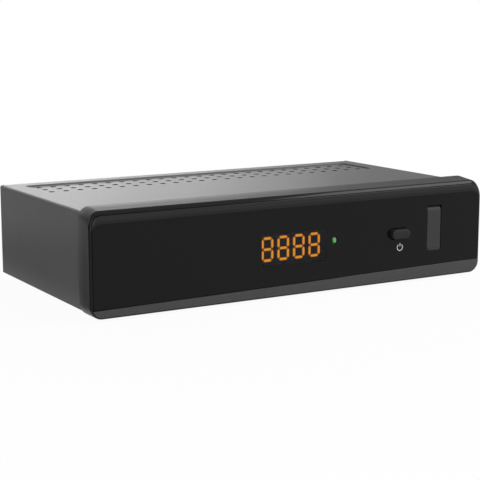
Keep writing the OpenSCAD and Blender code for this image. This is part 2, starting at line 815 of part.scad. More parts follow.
// Pressed stand-off, a cone that is hollow from below
standoff_flare = 1.2;
module standoff(x, y) {
  difference() {
    translate([x, y, base_z]) cylinder(r1 = standoff_d / 2 + standoff_flare,
      r2 = standoff_d / 2, h = board_z - base_z);
    standoff_hollow(x, y);
  }
}
module standoff_hollow(x, y) {
  translate([x, y, base_z - eps]) cylinder(r1 = standoff_d / 2 + standoff_flare - sheet_t,
    r2 = standoff_d / 2 - sheet_t, h = board_z - base_z - sheet_t);
}

// Row of cooling slots in the bottom
slot_rows = 2;
slot_row_gap = 5;
slots_front = 12;
slots_y = main_y + slots_front;
module cooling_slots() {
  for (j = [0:slot_rows - 1]) for (i = [0:slot_count - 1])
    translate([(i - (slot_count - 1) / 2) * slot_pitch,
      slots_y + slot_l / 2 + j * (slot_l + slot_row_gap), base_z - cut])
      linear_extrude(sheet_t + 2 * cut) rotate(90) stadium(slot_l, slot_w);
}

module base_chassis() {
  w = inner_w - 2 * sheet_gap;
  front_flange_h = 5.6;
  wall_top = case_top - sheet_t - sheet_gap;
  color([0.72, 0.73, 0.74]) difference() {
    union() {
      difference() {
        union() {
          block(0, case_front, base_z, w, wall_y - case_front, sheet_t);
          block(0, case_front, base_z, w, sheet_t, front_flange_h);
          block(0, wall_in, base_z, w, sheet_t, wall_top - base_z);
          for (s = [-1, 1]) block(s * (w - sheet_t) / 2, case_front, base_z, sheet_t,
            wall_y - case_front, side_flange_h);
        }
        for (p = board_screws_xy) standoff_hollow(p[0], p[1]);
      }
      for (p = board_screws_xy) standoff(p[0], p[1]);
    }
    for (p = board_screws_xy) bar_z(p[0], p[1], board_z - sheet_t - cut,
      screw_d / 2 + thread_gap, sheet_t + 2 * cut);
    for (x = hook_xs) hook_slot(x, hook_low_z, 1);
    for (x = rear_screws_x) bar_y(x, wall_in - cut, rear_screw_z,
      screw_d / 2 + thread_gap, sheet_t + 2 * cut);
    cooling_slots();
    // Openings for the rear connectors
    for (x = [antenna_in_x, antenna_out_x])
      bar_y(x, wall_in - cut, antenna_z, collar_r + connector_gap, sheet_t + 2 * cut);
    along_y(wall_in - cut, sheet_t + 2 * cut) {
      translate([hdmi_x, 0]) polygon(hdmi_outline(connector_gap));
      translate([scart_x, scart_z])
        polygon(scart_outline(scart_slot + scart_wall + connector_gap));
      translate([inlet_x - inlet_w / 2 - connector_gap, board_top - connector_gap])
        square([inlet_w + 2 * connector_gap, inlet_h + 2 * connector_gap]);
    }
    bar_y(coax_x, wall_in - cut, coax_z, coax_d / 2 + coax_room, sheet_t + 2 * cut);
  }
}

module rubber_feet() {
  chamfer = 0.5;
  dish_r = foot_d / 4;
  color([0.1, 0.1, 0.1])
    for (x = [-1, 1]) for (y = [bezel_back + foot_end, rear_y - foot_end])
      translate([x * (case_w / 2 - foot_side), y, 0]) rotate_extrude() polygon([
        [dish_r, 0], [foot_d / 2 - chamfer, 0], [foot_d / 2, chamfer], [foot_d / 2, foot_h],
        [0, foot_h], [0, chamfer], [dish_r - chamfer, chamfer]]);
}

// Screw with a cross recess, its head above z = 0 and its thread below
module screw(d, head_d, head_h, l) {
  recess_l = head_d * 0.6;
  recess_t = head_d / 7;
  recess_floor = head_h / 3;
  rim = head_h * 0.45;
  color([0.35, 0.35, 0.36]) difference() {
    union() {
      cylinder(d = head_d, h = head_h - rim);
      translate([0, 0, head_h - rim]) cylinder(r1 = head_d / 2, r2 = head_d / 2 - rim, h = rim);
      translate([0, 0, -l]) cylinder(d = d, h = l + eps);
    }
    for (a = [0, 90]) rotate(a) translate([-recess_l / 2, -recess_t / 2, recess_floor])
      cube([recess_l, recess_t, head_h]);
  }
}

module rear_screws() {
  for (x = rear_screws_x) translate([x, rear_y, rear_screw_z]) rotate([-90, 0, 0])
    screw(screw_d, screw_head_d, screw_head_h, screw_l);
}

module board_screws() {
  for (p = board_screws_xy) translate([p[0], p[1], board_top])
    screw(screw_d, screw_head_d, screw_head_h, screw_l);
}

module front_board_screws() {
  for (p = front_screws) translate([p[0], front_board_back, p[1]]) rotate([-90, 0, 0])
    screw(small_screw_d, small_head_d, screw_head_h, small_screw_l);
}

// Places of the pins that join the two boards, and their hole
link_pin_gap = 0.05;
link_hole_r = link_pin_t * sqrt(2) / 2 + link_pin_gap;
link_z = board_top + link_rise;
link_xs = [for (i = [0:link_pins - 1]) link_x + (i - (link_pins - 1) / 2) * link_pitch];
link_drop = 2;
link_drop_y = main_y + link_drop;

module main_board() {
  color([0.05, 0.32, 0.16]) difference() {
    block(0, main_y, board_z, main_w, main_d, board_t);
    for (p = board_screws_xy) bar_z(p[0], p[1], board_z - cut, screw_d / 2 + pass_gap,
      board_t + 2 * cut);
    for (x = link_xs) bar_z(x, link_drop_y, board_z - cut, link_hole_r, board_t + 2 * cut);
  }
}

// Display pins, their places in the x and z plane
display_pin_cols = 6;
display_pin_pitch = 2.54;
display_pin_r = 0.25;
display_pin_inset = 2;
display_pins = [for (i = [0:display_pin_cols - 1]) for (s = [-1, 1])
  [display_x + (i - (display_pin_cols - 1) / 2) * display_pin_pitch,
   bezel_z + display_z + s * (display_h / 2 - display_pin_inset)]];

module front_board() {
  color([0.05, 0.32, 0.16]) difference() {
    translate([front_board_x0, front_board_y, front_board_z0])
      cube([front_board_x1 - front_board_x0, board_t, front_board_h]);
    for (p = front_screws) bar_y(p[0], front_board_y - cut, p[1], small_screw_d / 2 + pass_gap,
      board_t + 2 * cut);
    for (x = link_xs) bar_y(x, front_board_y - cut, link_z, link_hole_r, board_t + 2 * cut);
    for (p = display_pins) bar_y(p[0], front_board_y - cut, p[1], display_pin_r + pass_gap,
      board_t + 2 * cut);
  }
}

// Right-angle pins in a plastic strip on the main board, passing through the front board
module board_link() {
  out = 1;
  t = link_pin_t;
  strip_d = 2.5;
  strip_over = 1;
  color([0.08, 0.08, 0.08]) difference() {
    block(link_x, main_y, board_top, link_pins * link_pitch, strip_d, link_rise + strip_over);
    for (x = link_xs) block(x, main_y - cut, link_z - t / 2, t, strip_d + 2 * cut, t);
    for (x = link_xs) block(x, link_drop_y - t / 2, board_top - cut, t, t, link_rise + cut);
  }
  color([0.85, 0.7, 0.35]) for (x = link_xs) {
    block(x, front_board_y - out, link_z - t / 2, t, link_drop_y + t / 2 - front_board_y + out, t);
    block(x, link_drop_y - t / 2, board_z - out, t, t, link_z - board_z + out);
  }
}

module display_module() {
  lead = 1;
  color([0.06, 0.06, 0.07]) {
    block(display_x, display_front + segment_t, bezel_z + display_z - display_h / 2,
      display_w, display_d - segment_t, display_h);
    for (p = display_pins) bar_y(p[0], display_front + display_d - eps, p[1], display_pin_r,
      front_board_back + lead - display_front - display_d);
  }
}

// One lit segment: a bar with pointed ends, length l, standing upright or lying
module segment(l) {
  e = segment_w / 2;
  polygon([[-l / 2, 0], [-l / 2 + e, e], [l / 2 - e, e], [l / 2, 0], [l / 2 - e, -e],
    [-l / 2 + e, -e]]);
}

// Seven segments of one digit, centred
module digit() {
  w = digit_w - segment_w;
  h = (digit_h - segment_w) / 2;
  for (z = [-h, 0, h]) translate([0, z]) segment(w - 2 * segment_gap);
  for (s = [-1, 1]) for (z = [-h / 2, h / 2]) translate([s * w / 2, z]) rotate(90)
    segment(h - 2 * segment_gap);
}

digits = 4;
module display_digits() {
  color([0.95, 0.55, 0.12]) along_y(display_front, segment_t)
    for (i = [0:digits - 1])
      translate([display_x + (i - (digits - 1) / 2) * digit_pitch, bezel_z + display_z]) digit();
}

// Plastic spacer that carries the display in front of its board
module display_spacer() {
  end_w = 4;
  end_inset = 1;
  web_h = 3;
  y = display_front + display_d;
  d = front_board_y - y;
  z = bezel_z + display_z;
  color([0.85, 0.85, 0.83]) {
    for (s = [-1, 1]) block(display_x + s * (display_w - end_w) / 2, y,
      z - display_h / 2 + end_inset, end_w, d, display_h - 2 * end_inset);
    block(display_x, y, z - web_h / 2, display_w - end_w, d, web_h);
  }
}

module status_led() {
  rim = 0.3;
  rim_h = 1;
  color([0.4, 0.9, 0.4]) translate([led_x, front_board_y, bezel_z + led_z]) rotate([90, 0, 0]) {
    cylinder(r = led_r + rim, h = rim_h);
    cylinder(r = led_r, h = led_l - led_r);
    translate([0, 0, led_l - led_r]) sphere(led_r);
  }
}

// Infrared receiver: a block with a round lens that looks through the bezel's hole
module ir_receiver() {
  h = 7;
  d = 3;
  lead_t = 0.5;
  lead_pitch = 1.9;
  behind = 1;
  r = ir_w / 2 - window_gap;
  y = plate_back + behind;
  dome_y = plate_front + window_gap + r;
  z = bezel_z + ir_z;
  color([0.1, 0.06, 0.08]) {
    block(ir_x, y, z - h / 2, 2 * r, d, h);
    bar_y(ir_x, dome_y, z, r, y + d - dome_y);
    translate([ir_x, dome_y, z]) sphere(r);
    for (i = [-1, 0, 1]) block(ir_x + i * lead_pitch, y + d - eps, z - h / 2, lead_t,
      front_board_y - y - d + eps, lead_t);
  }
}

switch_x = button_x;
switch_z = bezel_z + button_z;
switch_front = front_board_y - switch_d;
plunger_in = 1.2;
plunger_floor = 0.2;
module switch_body() {
  color([0.12, 0.12, 0.13]) difference() {
    block(switch_x, switch_front, switch_z - switch_w / 2, switch_w, switch_d, switch_w);
    bar_y(switch_x, switch_front - cut, switch_z, plunger_r + plunger_gap,
      cut + plunger_in + button_travel + plunger_floor);
  }
}

module switch_plunger() {
  color([0.6, 0.6, 0.6]) bar_y(switch_x, plunger_front, switch_z, plunger_r,
    switch_front + plunger_in - plunger_front);
}

// Upright USB socket: metal shell, plastic tongue and four contacts
metal_fit = 0.02;
usb_tongue_t = 1.84;
usb_tongue_gap = 0.7;
usb_tongue_in = 1;
usb_back_t = 2;
usb_inner_x = usb_x - usb_socket_w / 2 + shell_t + metal_fit;
usb_inner_back = usb_front + usb_socket_d - shell_t - metal_fit;
module usb_shell() {
  window_h = 2;
  window_d = 3;
  window_in = 3;
  t = shell_t;
  color([0.78, 0.78, 0.8]) difference() {
    block(usb_x, usb_front, usb_z0, usb_socket_w, usb_socket_d, usb_socket_h);
    block(usb_x, usb_front - cut, usb_z0 + t, usb_socket_w - 2 * t, usb_socket_d - t + cut,
      usb_socket_h - 2 * t);
    // Spring windows through both broad sides
    for (s = [-1, 1]) block(usb_x, usb_front + window_in,
      usb_z0 + usb_socket_h / 2 + s * usb_socket_h / 5 - window_h / 2,
      usb_socket_w + cut, window_d, window_h);
  }
}
module usb_insert() {
  h = usb_socket_h - 2 * (shell_t + metal_fit);
  color([0.9, 0.9, 0.88]) {
    translate([usb_inner_x, usb_inner_back - usb_back_t, usb_z0 + shell_t + metal_fit])
      cube([usb_socket_w - 2 * (shell_t + metal_fit), usb_back_t, h]);
    translate([usb_inner_x + usb_tongue_gap, usb_front + usb_tongue_in, usb_z0 + usb_tongue_in])
      cube([usb_tongue_t, usb_inner_back - usb_back_t - usb_front - usb_tongue_in + eps,
        usb_socket_h - 2 * usb_tongue_in]);
  }
}
module usb_contacts() {
  count = 4;
  pitch = 2.3;
  w = 1.2;
  t = 0.25;
  step_in = 0.5;
  y = usb_front + usb_tongue_in + step_in;
  color([0.85, 0.7, 0.35]) for (i = [0:count - 1])
    translate([usb_inner_x + usb_tongue_gap + usb_tongue_t, y,
      usb_z0 + usb_socket_h / 2 + (i - (count - 1) / 2) * pitch - w / 2])
      cube([t, usb_inner_back - usb_back_t - y, w]);
}

// Tuner in its tin shield, with a lid pressed over the walls
module tuner_shield() {
  lid_t = 0.4;
  groove = 0.5;
  hole_r = 1.5;
  holes = 3;
  color([0.8, 0.8, 0.8]) difference() {
    block(tuner_x, tuner_y, board_top, tuner_w, tuner_d, tuner_h);
    // Groove where the lid meets the walls
    translate([0, 0, board_top + tuner_h - lid_t - groove]) difference() {
      block(tuner_x, tuner_y - cut, 0, tuner_w + 2 * cut, tuner_d + 2 * cut, groove);
      block(tuner_x, tuner_y + lid_t, -cut, tuner_w - 2 * lid_t, tuner_d - 2 * lid_t,
        groove + 2 * cut);
    }
    // Round holes in the lid, over the tuning parts
    for (i = [1:holes]) bar_z(tuner_x + tuner_w * (i / (holes + 1) - 0.5), tuner_y + tuner_d / 3,
      board_top + tuner_h - hole_r, hole_r, hole_r + cut);
  }
}

// Sleeve of an antenna socket, with the threaded collar at its root
sleeve_root = tuner_y + tuner_d;
insulator_l = 4;
module sleeve(x, d, bore_d) {
  collar_l = 2.2;
  color([0.82, 0.82, 0.84]) difference() {
    union() {
      bar_y(x, sleeve_root, antenna_z, d / 2, wall_y + antenna_l - sleeve_root);
      bar_y(x, sleeve_root, antenna_z, collar_r, wall_y + collar_l - sleeve_root);
    }
    bar_y(x, sleeve_root - cut, antenna_z, bore_d / 2, wall_y + antenna_l - sleeve_root + 2 * cut);
  }
}
module antenna_in_sleeve() {
  sleeve(antenna_in_x, input_d, input_d - 2 * sleeve_t);
}
module antenna_out_sleeve() {
  sleeve(antenna_out_x, output_bore_d + 2 * sleeve_t, output_bore_d);
}

// Centre contact of the input, a tube, and centre pin of the output
contact_end = 1;
module antenna_in_contact() {
  color([0.85, 0.7, 0.35]) difference() {
    bar_y(antenna_in_x, sleeve_root, antenna_z, contact_d / 2,
      wall_y + antenna_l - contact_end - sleeve_root);
    bar_y(antenna_in_x, sleeve_root + insulator_l, antenna_z, centre_pin_d / 2 + contact_gap,
      wall_y + antenna_l - sleeve_root);
  }
}
module antenna_out_pin() {
  r = centre_pin_d / 2;
  l = wall_y + antenna_l - contact_end - sleeve_root;
  color([0.85, 0.7, 0.35]) {
    bar_y(antenna_out_x, sleeve_root, antenna_z, r, l - r);
    translate([antenna_out_x, sleeve_root + l - r, antenna_z]) sphere(r);
  }
}

// White insulators at the roots of both antenna sockets
module antenna_insulators() {
  fit = metal_fit;
  color([0.92, 0.92, 0.9]) {
    difference() {
      bar_y(antenna_in_x, sleeve_root, antenna_z, input_d / 2 - sleeve_t - fit, insulator_l);
      bar_y(antenna_in_x, sleeve_root - cut, antenna_z, contact_d / 2 + fit, insulator_l + 2 * cut);
    }
    difference() {
      bar_y(antenna_out_x, sleeve_root, antenna_z, output_bore_d / 2 - fit, insulator_l);
      bar_y(antenna_out_x, sleeve_root - cut, antenna_z, centre_pin_d / 2 + fit,
        insulator_l + 2 * cut);
    }
  }
}

flush_y = wall_y + flush_proud;
module hdmi_shell() {
  color([0.78, 0.78, 0.8]) translate([hdmi_x, 0, 0]) difference() {
    along_y(flush_y - hdmi_d, hdmi_d) polygon(hdmi_outline(0));
    along_y(flush_y - hdmi_d + shell_t, hdmi_d) polygon(hdmi_outline(-shell_t));
  }
}
module hdmi_insert() {
  back = 3;
  tongue_t = 0.9;
  tongue_side = 2.2;
  tongue_in = 1;
  y = flush_y - hdmi_d + shell_t + metal_fit;
  color([0.08, 0.08, 0.08]) translate([hdmi_x, 0, 0]) {
    along_y(y, back) polygon(hdmi_outline(-shell_t - metal_fit));
    block(0, y + back - eps, board_top + hdmi_h / 2, hdmi_w - 2 * tongue_side,
      flush_y - tongue_in - y - back + eps, tongue_t);
  }
}

// Contact chambers of the SCART socket, two rows shifted by half a pitch
scart_in_row = 10;
scart_chambers = [for (i = [0:scart_in_row - 1]) for (s = [-1, 1])
  [(i - (scart_in_row - 1) / 2 - s / 4) * scart_contact_pitch, s * scart_h / 4]];
scart_chamber_d = 8;
module scart_housing() {
  front = flush_y - scart_d;
  color([0.07, 0.07, 0.07]) translate([scart_x, 0, scart_z]) difference() {
    along_y(front, scart_d) polygon(scart_outline(scart_slot + scart_wall));
    along_y(flush_y - scart_slot_d, scart_slot_d + cut) difference() {
      polygon(scart_outline(scart_slot));
      polygon(scart_outline(0));
    }
    for (c = scart_chambers) block(c[0], flush_y - scart_chamber_d, c[1] - scart_chamber_h / 2,
      scart_chamber_w, scart_chamber_d + cut, scart_chamber_h);
  }
}
module scart_contacts() {
  l = scart_chamber_d - scart_contact_in;
  color([0.85, 0.75, 0.5]) translate([scart_x, 0, scart_z])
    for (c = scart_chambers) block(c[0], flush_y - scart_chamber_d, c[1] - scart_chamber_h / 4,
      scart_contact_t, l, scart_chamber_h / 2);
}

coax_face = wall_in - connector_gap;
coax_ring_t = 0.7;
module coax_block() {
  color([0.9, 0.45, 0.1]) block(coax_x, coax_face - coax_block, board_top, coax_block,
    coax_block, coax_rise + coax_block / 2);
}
module coax_ring() {
  l = wall_y + coax_l - coax_face;
  color([0.82, 0.82, 0.84]) difference() {
    bar_y(coax_x, coax_face, coax_z, coax_d / 2, l);
    bar_y(coax_x, coax_face - cut, coax_z, coax_d / 2 - coax_ring_t, l + 2 * cut);
  }
}
module coax_core() {
  step_in = 0.5;
  bottom = 1.5;
  l = wall_y + coax_l - coax_face - step_in;
  color([0.9, 0.45, 0.1]) difference() {
    bar_y(coax_x, coax_face, coax_z, coax_d / 2 - coax_ring_t - metal_fit, l);
    bar_y(coax_x, coax_face + bottom, coax_z, coax_hole_d / 2, l);
  }
}

// Power inlet for a low-voltage plug, lower behind its round mouth
inlet_bore_depth = 9.5;
module power_inlet() {
  step_h = 2;
  color([0.08, 0.08, 0.08]) difference() {
    block(inlet_x, flush_y - inlet_d, board_top, inlet_w, inlet_d, inlet_h);
    bar_y(inlet_x, flush_y - inlet_bore_depth, inlet_z, inlet_bore_d / 2, inlet_bore_depth + cut);
    block(inlet_x, flush_y - inlet_d - cut, board_top + inlet_h - step_h, inlet_w + cut,
      inlet_d - inlet_bore_depth, step_h + cut);
  }
}
module power_inlet_pin() {
  step_in = 1;
  r = inlet_pin_d / 2;
  l = inlet_bore_depth - step_in;
  color([0.82, 0.82, 0.84]) {
    bar_y(inlet_x, flush_y - inlet_bore_depth, inlet_z, r, l - r);
    translate([inlet_x, flush_y - inlet_bore_depth + l - r, inlet_z]) sphere(r);
  }
}

// Places of the parts on the main board, from the supplies at the left to the heat sink
small_cap = 0.72;
small_cap_r = cap_d / 2 * small_cap;
cap_beside = 9;
memory_w = 9;
beside_cap = 3;
beside_memory = 5;
beside_sink = 10;
supply_x = -main_w / 2 + supply_side;
supply_y = main_y + supply_front;
memory_x = supply_x + cap_beside + small_cap_r + beside_cap + memory_w / 2;
chip_x = memory_x + memory_w / 2 + beside_memory + sink_w / 2;
chip_y = main_y + chip_front;
beside_chip_x = chip_x + sink_w / 2 + beside_sink;
module main_chip() {
  color([0.07, 0.07, 0.08]) block(chip_x, chip_y - chip_w / 2, board_top, chip_w, chip_w, chip_h);
}
module heat_sink() {
  z = board_top + chip_h;
  step = (sink_w - fin_t) / (sink_fins - 1);
  color([0.7, 0.7, 0.72]) {
    block(chip_x, chip_y - sink_w / 2, z, sink_w, sink_w, sink_base);
    for (i = [0:sink_fins - 1])
      block(chip_x + (i - (sink_fins - 1) / 2) * step, chip_y - sink_w / 2, z + sink_base - eps,
        fin_t, sink_w, sink_h - sink_base + eps);
  }
}

// Chip of width w and depth d, with a row of leads along each side
module leaded_chip(x, y, w, d, h) {
  leads = 4;
  pitch = 1.27;
  lead_w = 0.4;
  lead_t = 0.2;
  lead_l = 1;
  rise = 0.1;
  block(x, y - d / 2, board_top + rise, w, d, h - rise);
  for (s = [-1, 1]) for (i = [0:leads - 1])
    block(x + s * (w + lead_l - eps) / 2, y + (i - (leads - 1) / 2) * pitch - lead_w / 2,
      board_top, lead_l + eps, lead_w, lead_t + rise);
}
module memory_chip() {
  d = 13;
  h = 1.1;
  color([0.07, 0.07, 0.08]) block(memory_x, chip_y - d / 2, board_top, memory_w, d, h);
}
module flash_chip() {
  w = 5.3;
  h = 1.8;
  color([0.07, 0.07, 0.08]) leaded_chip(beside_chip_x, chip_y, w, w, h);
}

// Three step-down supplies in a column: a regulator, a coil and their capacitors
supplies = 3;
module regulators() {
  w = 3.9;
  d = 4.9;
  h = 1.6;
  color([0.07, 0.07, 0.08]) for (i = [0:supplies - 1])
    leaded_chip(supply_x, supply_y + i * supply_pitch, w, d, h);
}
module inductors() {
  w = 6.5;
  h = 3.2;
  waist = 0.6;
  waist_z = 1.1;
  waist_h = 1;
  coil_gap = 10;
  color([0.25, 0.25, 0.27]) for (i = [0:supplies - 1])
    translate([supply_x - coil_gap, supply_y + i * supply_pitch, board_top]) difference() {
      block(0, -w / 2, 0, w, w, h);
      // Waist where the wire is wound
      translate([0, 0, waist_z]) difference() {
        block(0, -w, 0, 2 * w, 2 * w, waist_h);
        block(0, -w / 2 + waist, -cut, w - 2 * waist, w - 2 * waist, h);
      }
    }
}

// Electrolytic capacitors: [x, y, share of the large size]
cap_behind = 9;
cap_between = 1.5;
cap_row_y = wall_in - inlet_d - cap_behind;
cap_places = [
  [inlet_x + 1, cap_row_y, 1], [coax_x, cap_row_y, 1],
  [coax_x + cap_d / 2 + cap_between + small_cap_r, cap_row_y, small_cap],
  [supply_x + cap_beside, supply_y, small_cap],
  [supply_x + cap_beside, supply_y + (supplies - 1) * supply_pitch, small_cap],
  [tuner_x - tuner_w / 2 - cap_beside, tuner_y + cap_beside, small_cap],
  [link_x + link_pins * link_pitch, supply_y, small_cap]];
cap_rim = 0.5;
module capacitors() {
  groove_z = 1.2;
  groove = 0.25;
  color([0.12, 0.14, 0.22]) for (c = cap_places) {
    r = cap_d / 2 * c[2];
    h = cap_h * c[2];
    translate([c[0], c[1], board_top]) rotate_extrude() polygon([
      [0, 0], [r, 0], [r, groove_z], [r - groove, groove_z + groove], [r, groove_z + 2 * groove],
      [r, h - cap_rim], [r - cap_rim, h], [r - 2 * cap_rim, h],
      [r - 2 * cap_rim, h - cap_rim], [0, h - cap_rim]]);
  }
}
module capacitor_tops() {
  vent_w = 0.3;
  vent_t = 0.2;
  top_t = 0.4;
  color([0.8, 0.8, 0.82]) for (c = cap_places) {
    r = cap_d / 2 * c[2] - 2 * cap_rim - metal_fit;
    translate([c[0], c[1], board_top + cap_h * c[2] - cap_rim]) difference() {
      cylinder(r = r, h = top_t);
      for (a = [0, 90]) rotate(a) translate([-r * 0.8, -vent_w / 2, top_t - vent_t])
        cube([r * 1.6, vent_w, vent_t + cut]);
    }
  }
}
module crystal() {
  l = 11.5;
  w = 5;
  rim = 0.5;
  h = 3.6;
  behind = 10;
  color([0.82, 0.82, 0.84]) translate([beside_chip_x, chip_y + behind, board_top]) {
    linear_extrude(rim) stadium(l, w);
    linear_extrude(h) stadium(l - 2 * rim, w - 2 * rim);
  }
}

// Small ceramic parts in rows behind the heat sink and right of the flash memory
module ceramic_rows(x, y, columns, rows) {
  w = 1.6;
  d = 0.8;
  step_x = 2.6;
  step_y = 2.2;
  for (i = [0:columns - 1]) for (j = [0:rows - 1])
    block(x + i * step_x, y + j * step_y, board_top, w, d, d);
}
module ceramic_parts() {
  behind_sink = 3;
  beside_flash = 10;
  color([0.62, 0.52, 0.4]) {
    ceramic_rows(chip_x - sink_w / 3, chip_y + sink_w / 2 + behind_sink, 8, 3);
    ceramic_rows(beside_chip_x + beside_flash, chip_y, 6, 2);
  }
}

front_bezel();
front_lens();
power_button();
usb_cover();
light_pipe();
top_cover();
base_chassis();
rubber_feet();
rear_screws();
main_board();
board_screws();
front_board();
front_board_screws();
board_link();
display_module();
display_digits();
display_spacer();
status_led();
ir_receiver();
switch_body();
switch_plunger();
usb_shell();
usb_insert();
usb_contacts();
tuner_shield();
antenna_in_sleeve();
antenna_in_contact();
antenna_out_sleeve();
antenna_out_pin();
antenna_insulators();
hdmi_shell();
hdmi_insert();
scart_housing();
scart_contacts();
coax_block();
coax_ring();
coax_core();
power_inlet();
power_inlet_pin();
main_chip();
heat_sink();
memory_chip();
flash_chip();
regulators();
capacitors();
capacitor_tops();
inductors();
crystal();
ceramic_parts();
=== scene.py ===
# %% [markdown]
# # A terrestrial television receiver
# This lesson dresses a small set-top receiver: a dark steel case with a vented top, a moulded front
# bezel, a gloss black panel with amber digits, a green light, a power button and a hinged cover over
# a USB socket. The engineering model gives every piece its place. This script gives the visible
# pieces their finer surfaces and gives everything a finish.

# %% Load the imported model
import json
import math
import bpy
import bmesh
import numpy as np
from mathutils import Matrix, Vector
from mathutils.geometry import tessellate_polygon


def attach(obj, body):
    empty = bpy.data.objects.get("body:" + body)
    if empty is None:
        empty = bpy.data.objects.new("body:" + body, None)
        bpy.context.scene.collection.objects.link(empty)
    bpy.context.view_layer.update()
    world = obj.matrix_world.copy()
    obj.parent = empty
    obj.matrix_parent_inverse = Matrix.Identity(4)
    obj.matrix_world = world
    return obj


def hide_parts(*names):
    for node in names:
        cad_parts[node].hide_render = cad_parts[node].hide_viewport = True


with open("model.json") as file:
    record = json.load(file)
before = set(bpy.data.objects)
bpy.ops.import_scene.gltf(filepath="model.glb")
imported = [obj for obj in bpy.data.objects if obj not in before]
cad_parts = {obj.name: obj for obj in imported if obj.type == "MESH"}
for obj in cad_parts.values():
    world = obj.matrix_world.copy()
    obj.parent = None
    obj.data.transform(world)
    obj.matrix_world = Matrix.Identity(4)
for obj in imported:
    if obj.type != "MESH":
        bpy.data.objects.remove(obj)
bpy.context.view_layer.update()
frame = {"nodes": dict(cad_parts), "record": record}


print("nodes loaded:", len(frame["nodes"]))

# %% [markdown]
# ## Camera
# The photograph was taken from the front left, about ten degrees above the table, from half a metre
# away. A camera can be aimed by two angles, or by a place and a point that it looks at. The second
# is used here, because both were measured from the straight edges of the case.

# %% Camera
EYE = Vector((-0.2558, -0.44155, 0.1045))
AIM = Vector((0.0018, 0.0, 0.0141))
LENS_MM, SENSOR_MM, ROLL = 97.95, 36, -0.05
camera_data = bpy.data.cameras.new("camera")
camera_data.sensor_width = SENSOR_MM
camera_data.lens = LENS_MM
camera_data.clip_start = 0.01
camera = bpy.data.objects.new("camera", camera_data)
bpy.context.scene.collection.objects.link(camera)
looking = (AIM - EYE).to_track_quat("-Z", "Y").to_matrix()
rolled = looking @ Matrix.Rotation(math.radians(ROLL), 3, "Z")
camera.matrix_world = Matrix.Translation(EYE) @ rolled.to_4x4()
scene = bpy.context.scene
scene.camera = camera
scene.view_settings.view_transform = "Standard"
print("camera distance in m:", round((AIM - EYE).length, 4))

# %% [markdown]
# ## Helpers for surfaces
# Every new piece is a surface worked out with numpy, in millimetres. Most are stacks of closed
# rings: each ring is one array of points, and neighbouring rings are joined by four-sided faces. A
# flat face with holes is filled by triangles. The parts of a piece are merged where they meet, so
# the surface is closed, and its normals are then turned outwards.

# %% Rings, fills and meshes
CREASE = 35


def stack(rings, closed=True):
    """Faces between neighbouring rings. Ring i, point j is joined to ring i+1 and point j+1."""
    rings = np.asarray(rings, float)
    rows, cols = rings.shape[:2]
    i, j = np.meshgrid(np.arange(rows - 1), np.arange(cols if closed else cols - 1), indexing="ij")
    after = (j + 1) % cols
    quads = np.stack([i * cols + j, i * cols + after, (i + 1) * cols + after, (i + 1) * cols + j], -1)
    return rings.reshape(-1, 3), quads.reshape(-1, 4).tolist()


def fill(outline, holes=()):
    """Triangles that fill a flat outline and leave out its holes."""
    loops = [outline, *holes]
    triangles = tessellate_polygon([[Vector(point) for point in loop] for loop in loops])
    return np.concatenate(loops), [list(triangle) for triangle in triangles]


def build(name, parts, body, material, replaces=(), second=None):
    """Joins parts given in mm into one mesh in metres, merges doubles and turns the faces outwards.
    Stacks are shaded smooth, except over edges sharper than CREASE, and fills flat. second is
    (material, test): it goes on the faces whose centre (x, y, z) in mm passes the test."""
    points, faces, start = [], [], 0
    for part_points, part_faces in parts:
        points.append(np.asarray(part_points, float))
        faces += [[start + corner for corner in face] for face in part_faces]
        start += len(part_points)
    mesh = bpy.data.meshes.new(name)
    mesh.from_pydata((np.concatenate(points) * 0.001).tolist(), [], faces)
    work = bmesh.new()
    work.from_mesh(mesh)
    bmesh.ops.remove_doubles(work, verts=work.verts, dist=2e-6)
    bmesh.ops.dissolve_degenerate(work, edges=work.edges, dist=1e-6)
    bmesh.ops.recalc_face_normals(work, faces=work.faces)
    open_edges = sum(1 for edge in work.edges if len(edge.link_faces) != 2)
    work.to_mesh(mesh)
    work.free()
    mesh.set_sharp_from_angle(angle=math.radians(CREASE))
    mesh.polygons.foreach_set("use_smooth", [len(face.vertices) == 4 for face in mesh.polygons])
    mesh.materials.append(material)
    if second:
        mesh.materials.append(second[0])
        centres = np.empty(len(mesh.polygons) * 3)
        mesh.polygons.foreach_get("center", centres)
        chosen = second[1](*(centres.reshape(-1, 3).T * 1000))
        mesh.polygons.foreach_set("material_index", chosen.astype(np.int32))
    piece = bpy.data.objects.new(name, mesh)
    bpy.context.scene.collection.objects.link(piece)
    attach(piece, body)
    if replaces:
        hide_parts(*replaces)
    print(name, "faces:", len(mesh.polygons), "open edges:", open_edges)
    return piece


def prism(ends):
    """Solid between two flat outlines with the same number of points."""
    ends = np.asarray(ends, float)
    return [stack(ends), fill(ends[0]), fill(ends[-1])]


print("edges sharper than", CREASE, "degrees stay sharp")


# %% Flat outlines and turned parts
def turned(profile, centre, axis, steps=32):
    """Turned solid: each (place along the axis, radius) of the profile becomes a ring round the axis,
    by cosine and sine, and the first and last rings are filled. The axis is x or y."""
    angles = np.linspace(0, 2 * np.pi, steps, endpoint=False)
    places, radii = np.asarray(profile, float).T
    across = radii[:, None] * np.cos(angles)
    up = radii[:, None] * np.sin(angles)
    along = np.broadcast_to(places[:, None], up.shape)
    rings = np.stack({"x": (along, across, up), "y": (across, along, up)}[axis], -1) + np.asarray(centre)
    return [stack(rings), fill(rings[0]), fill(rings[-1])]


def upright(xz, y):
    """Turns points (x, z) into points (x, y, z). y is one number or one number per point."""
    xz = np.asarray(xz, float)
    return np.stack([xz[:, 0], np.broadcast_to(y, len(xz)), xz[:, 1]], -1)


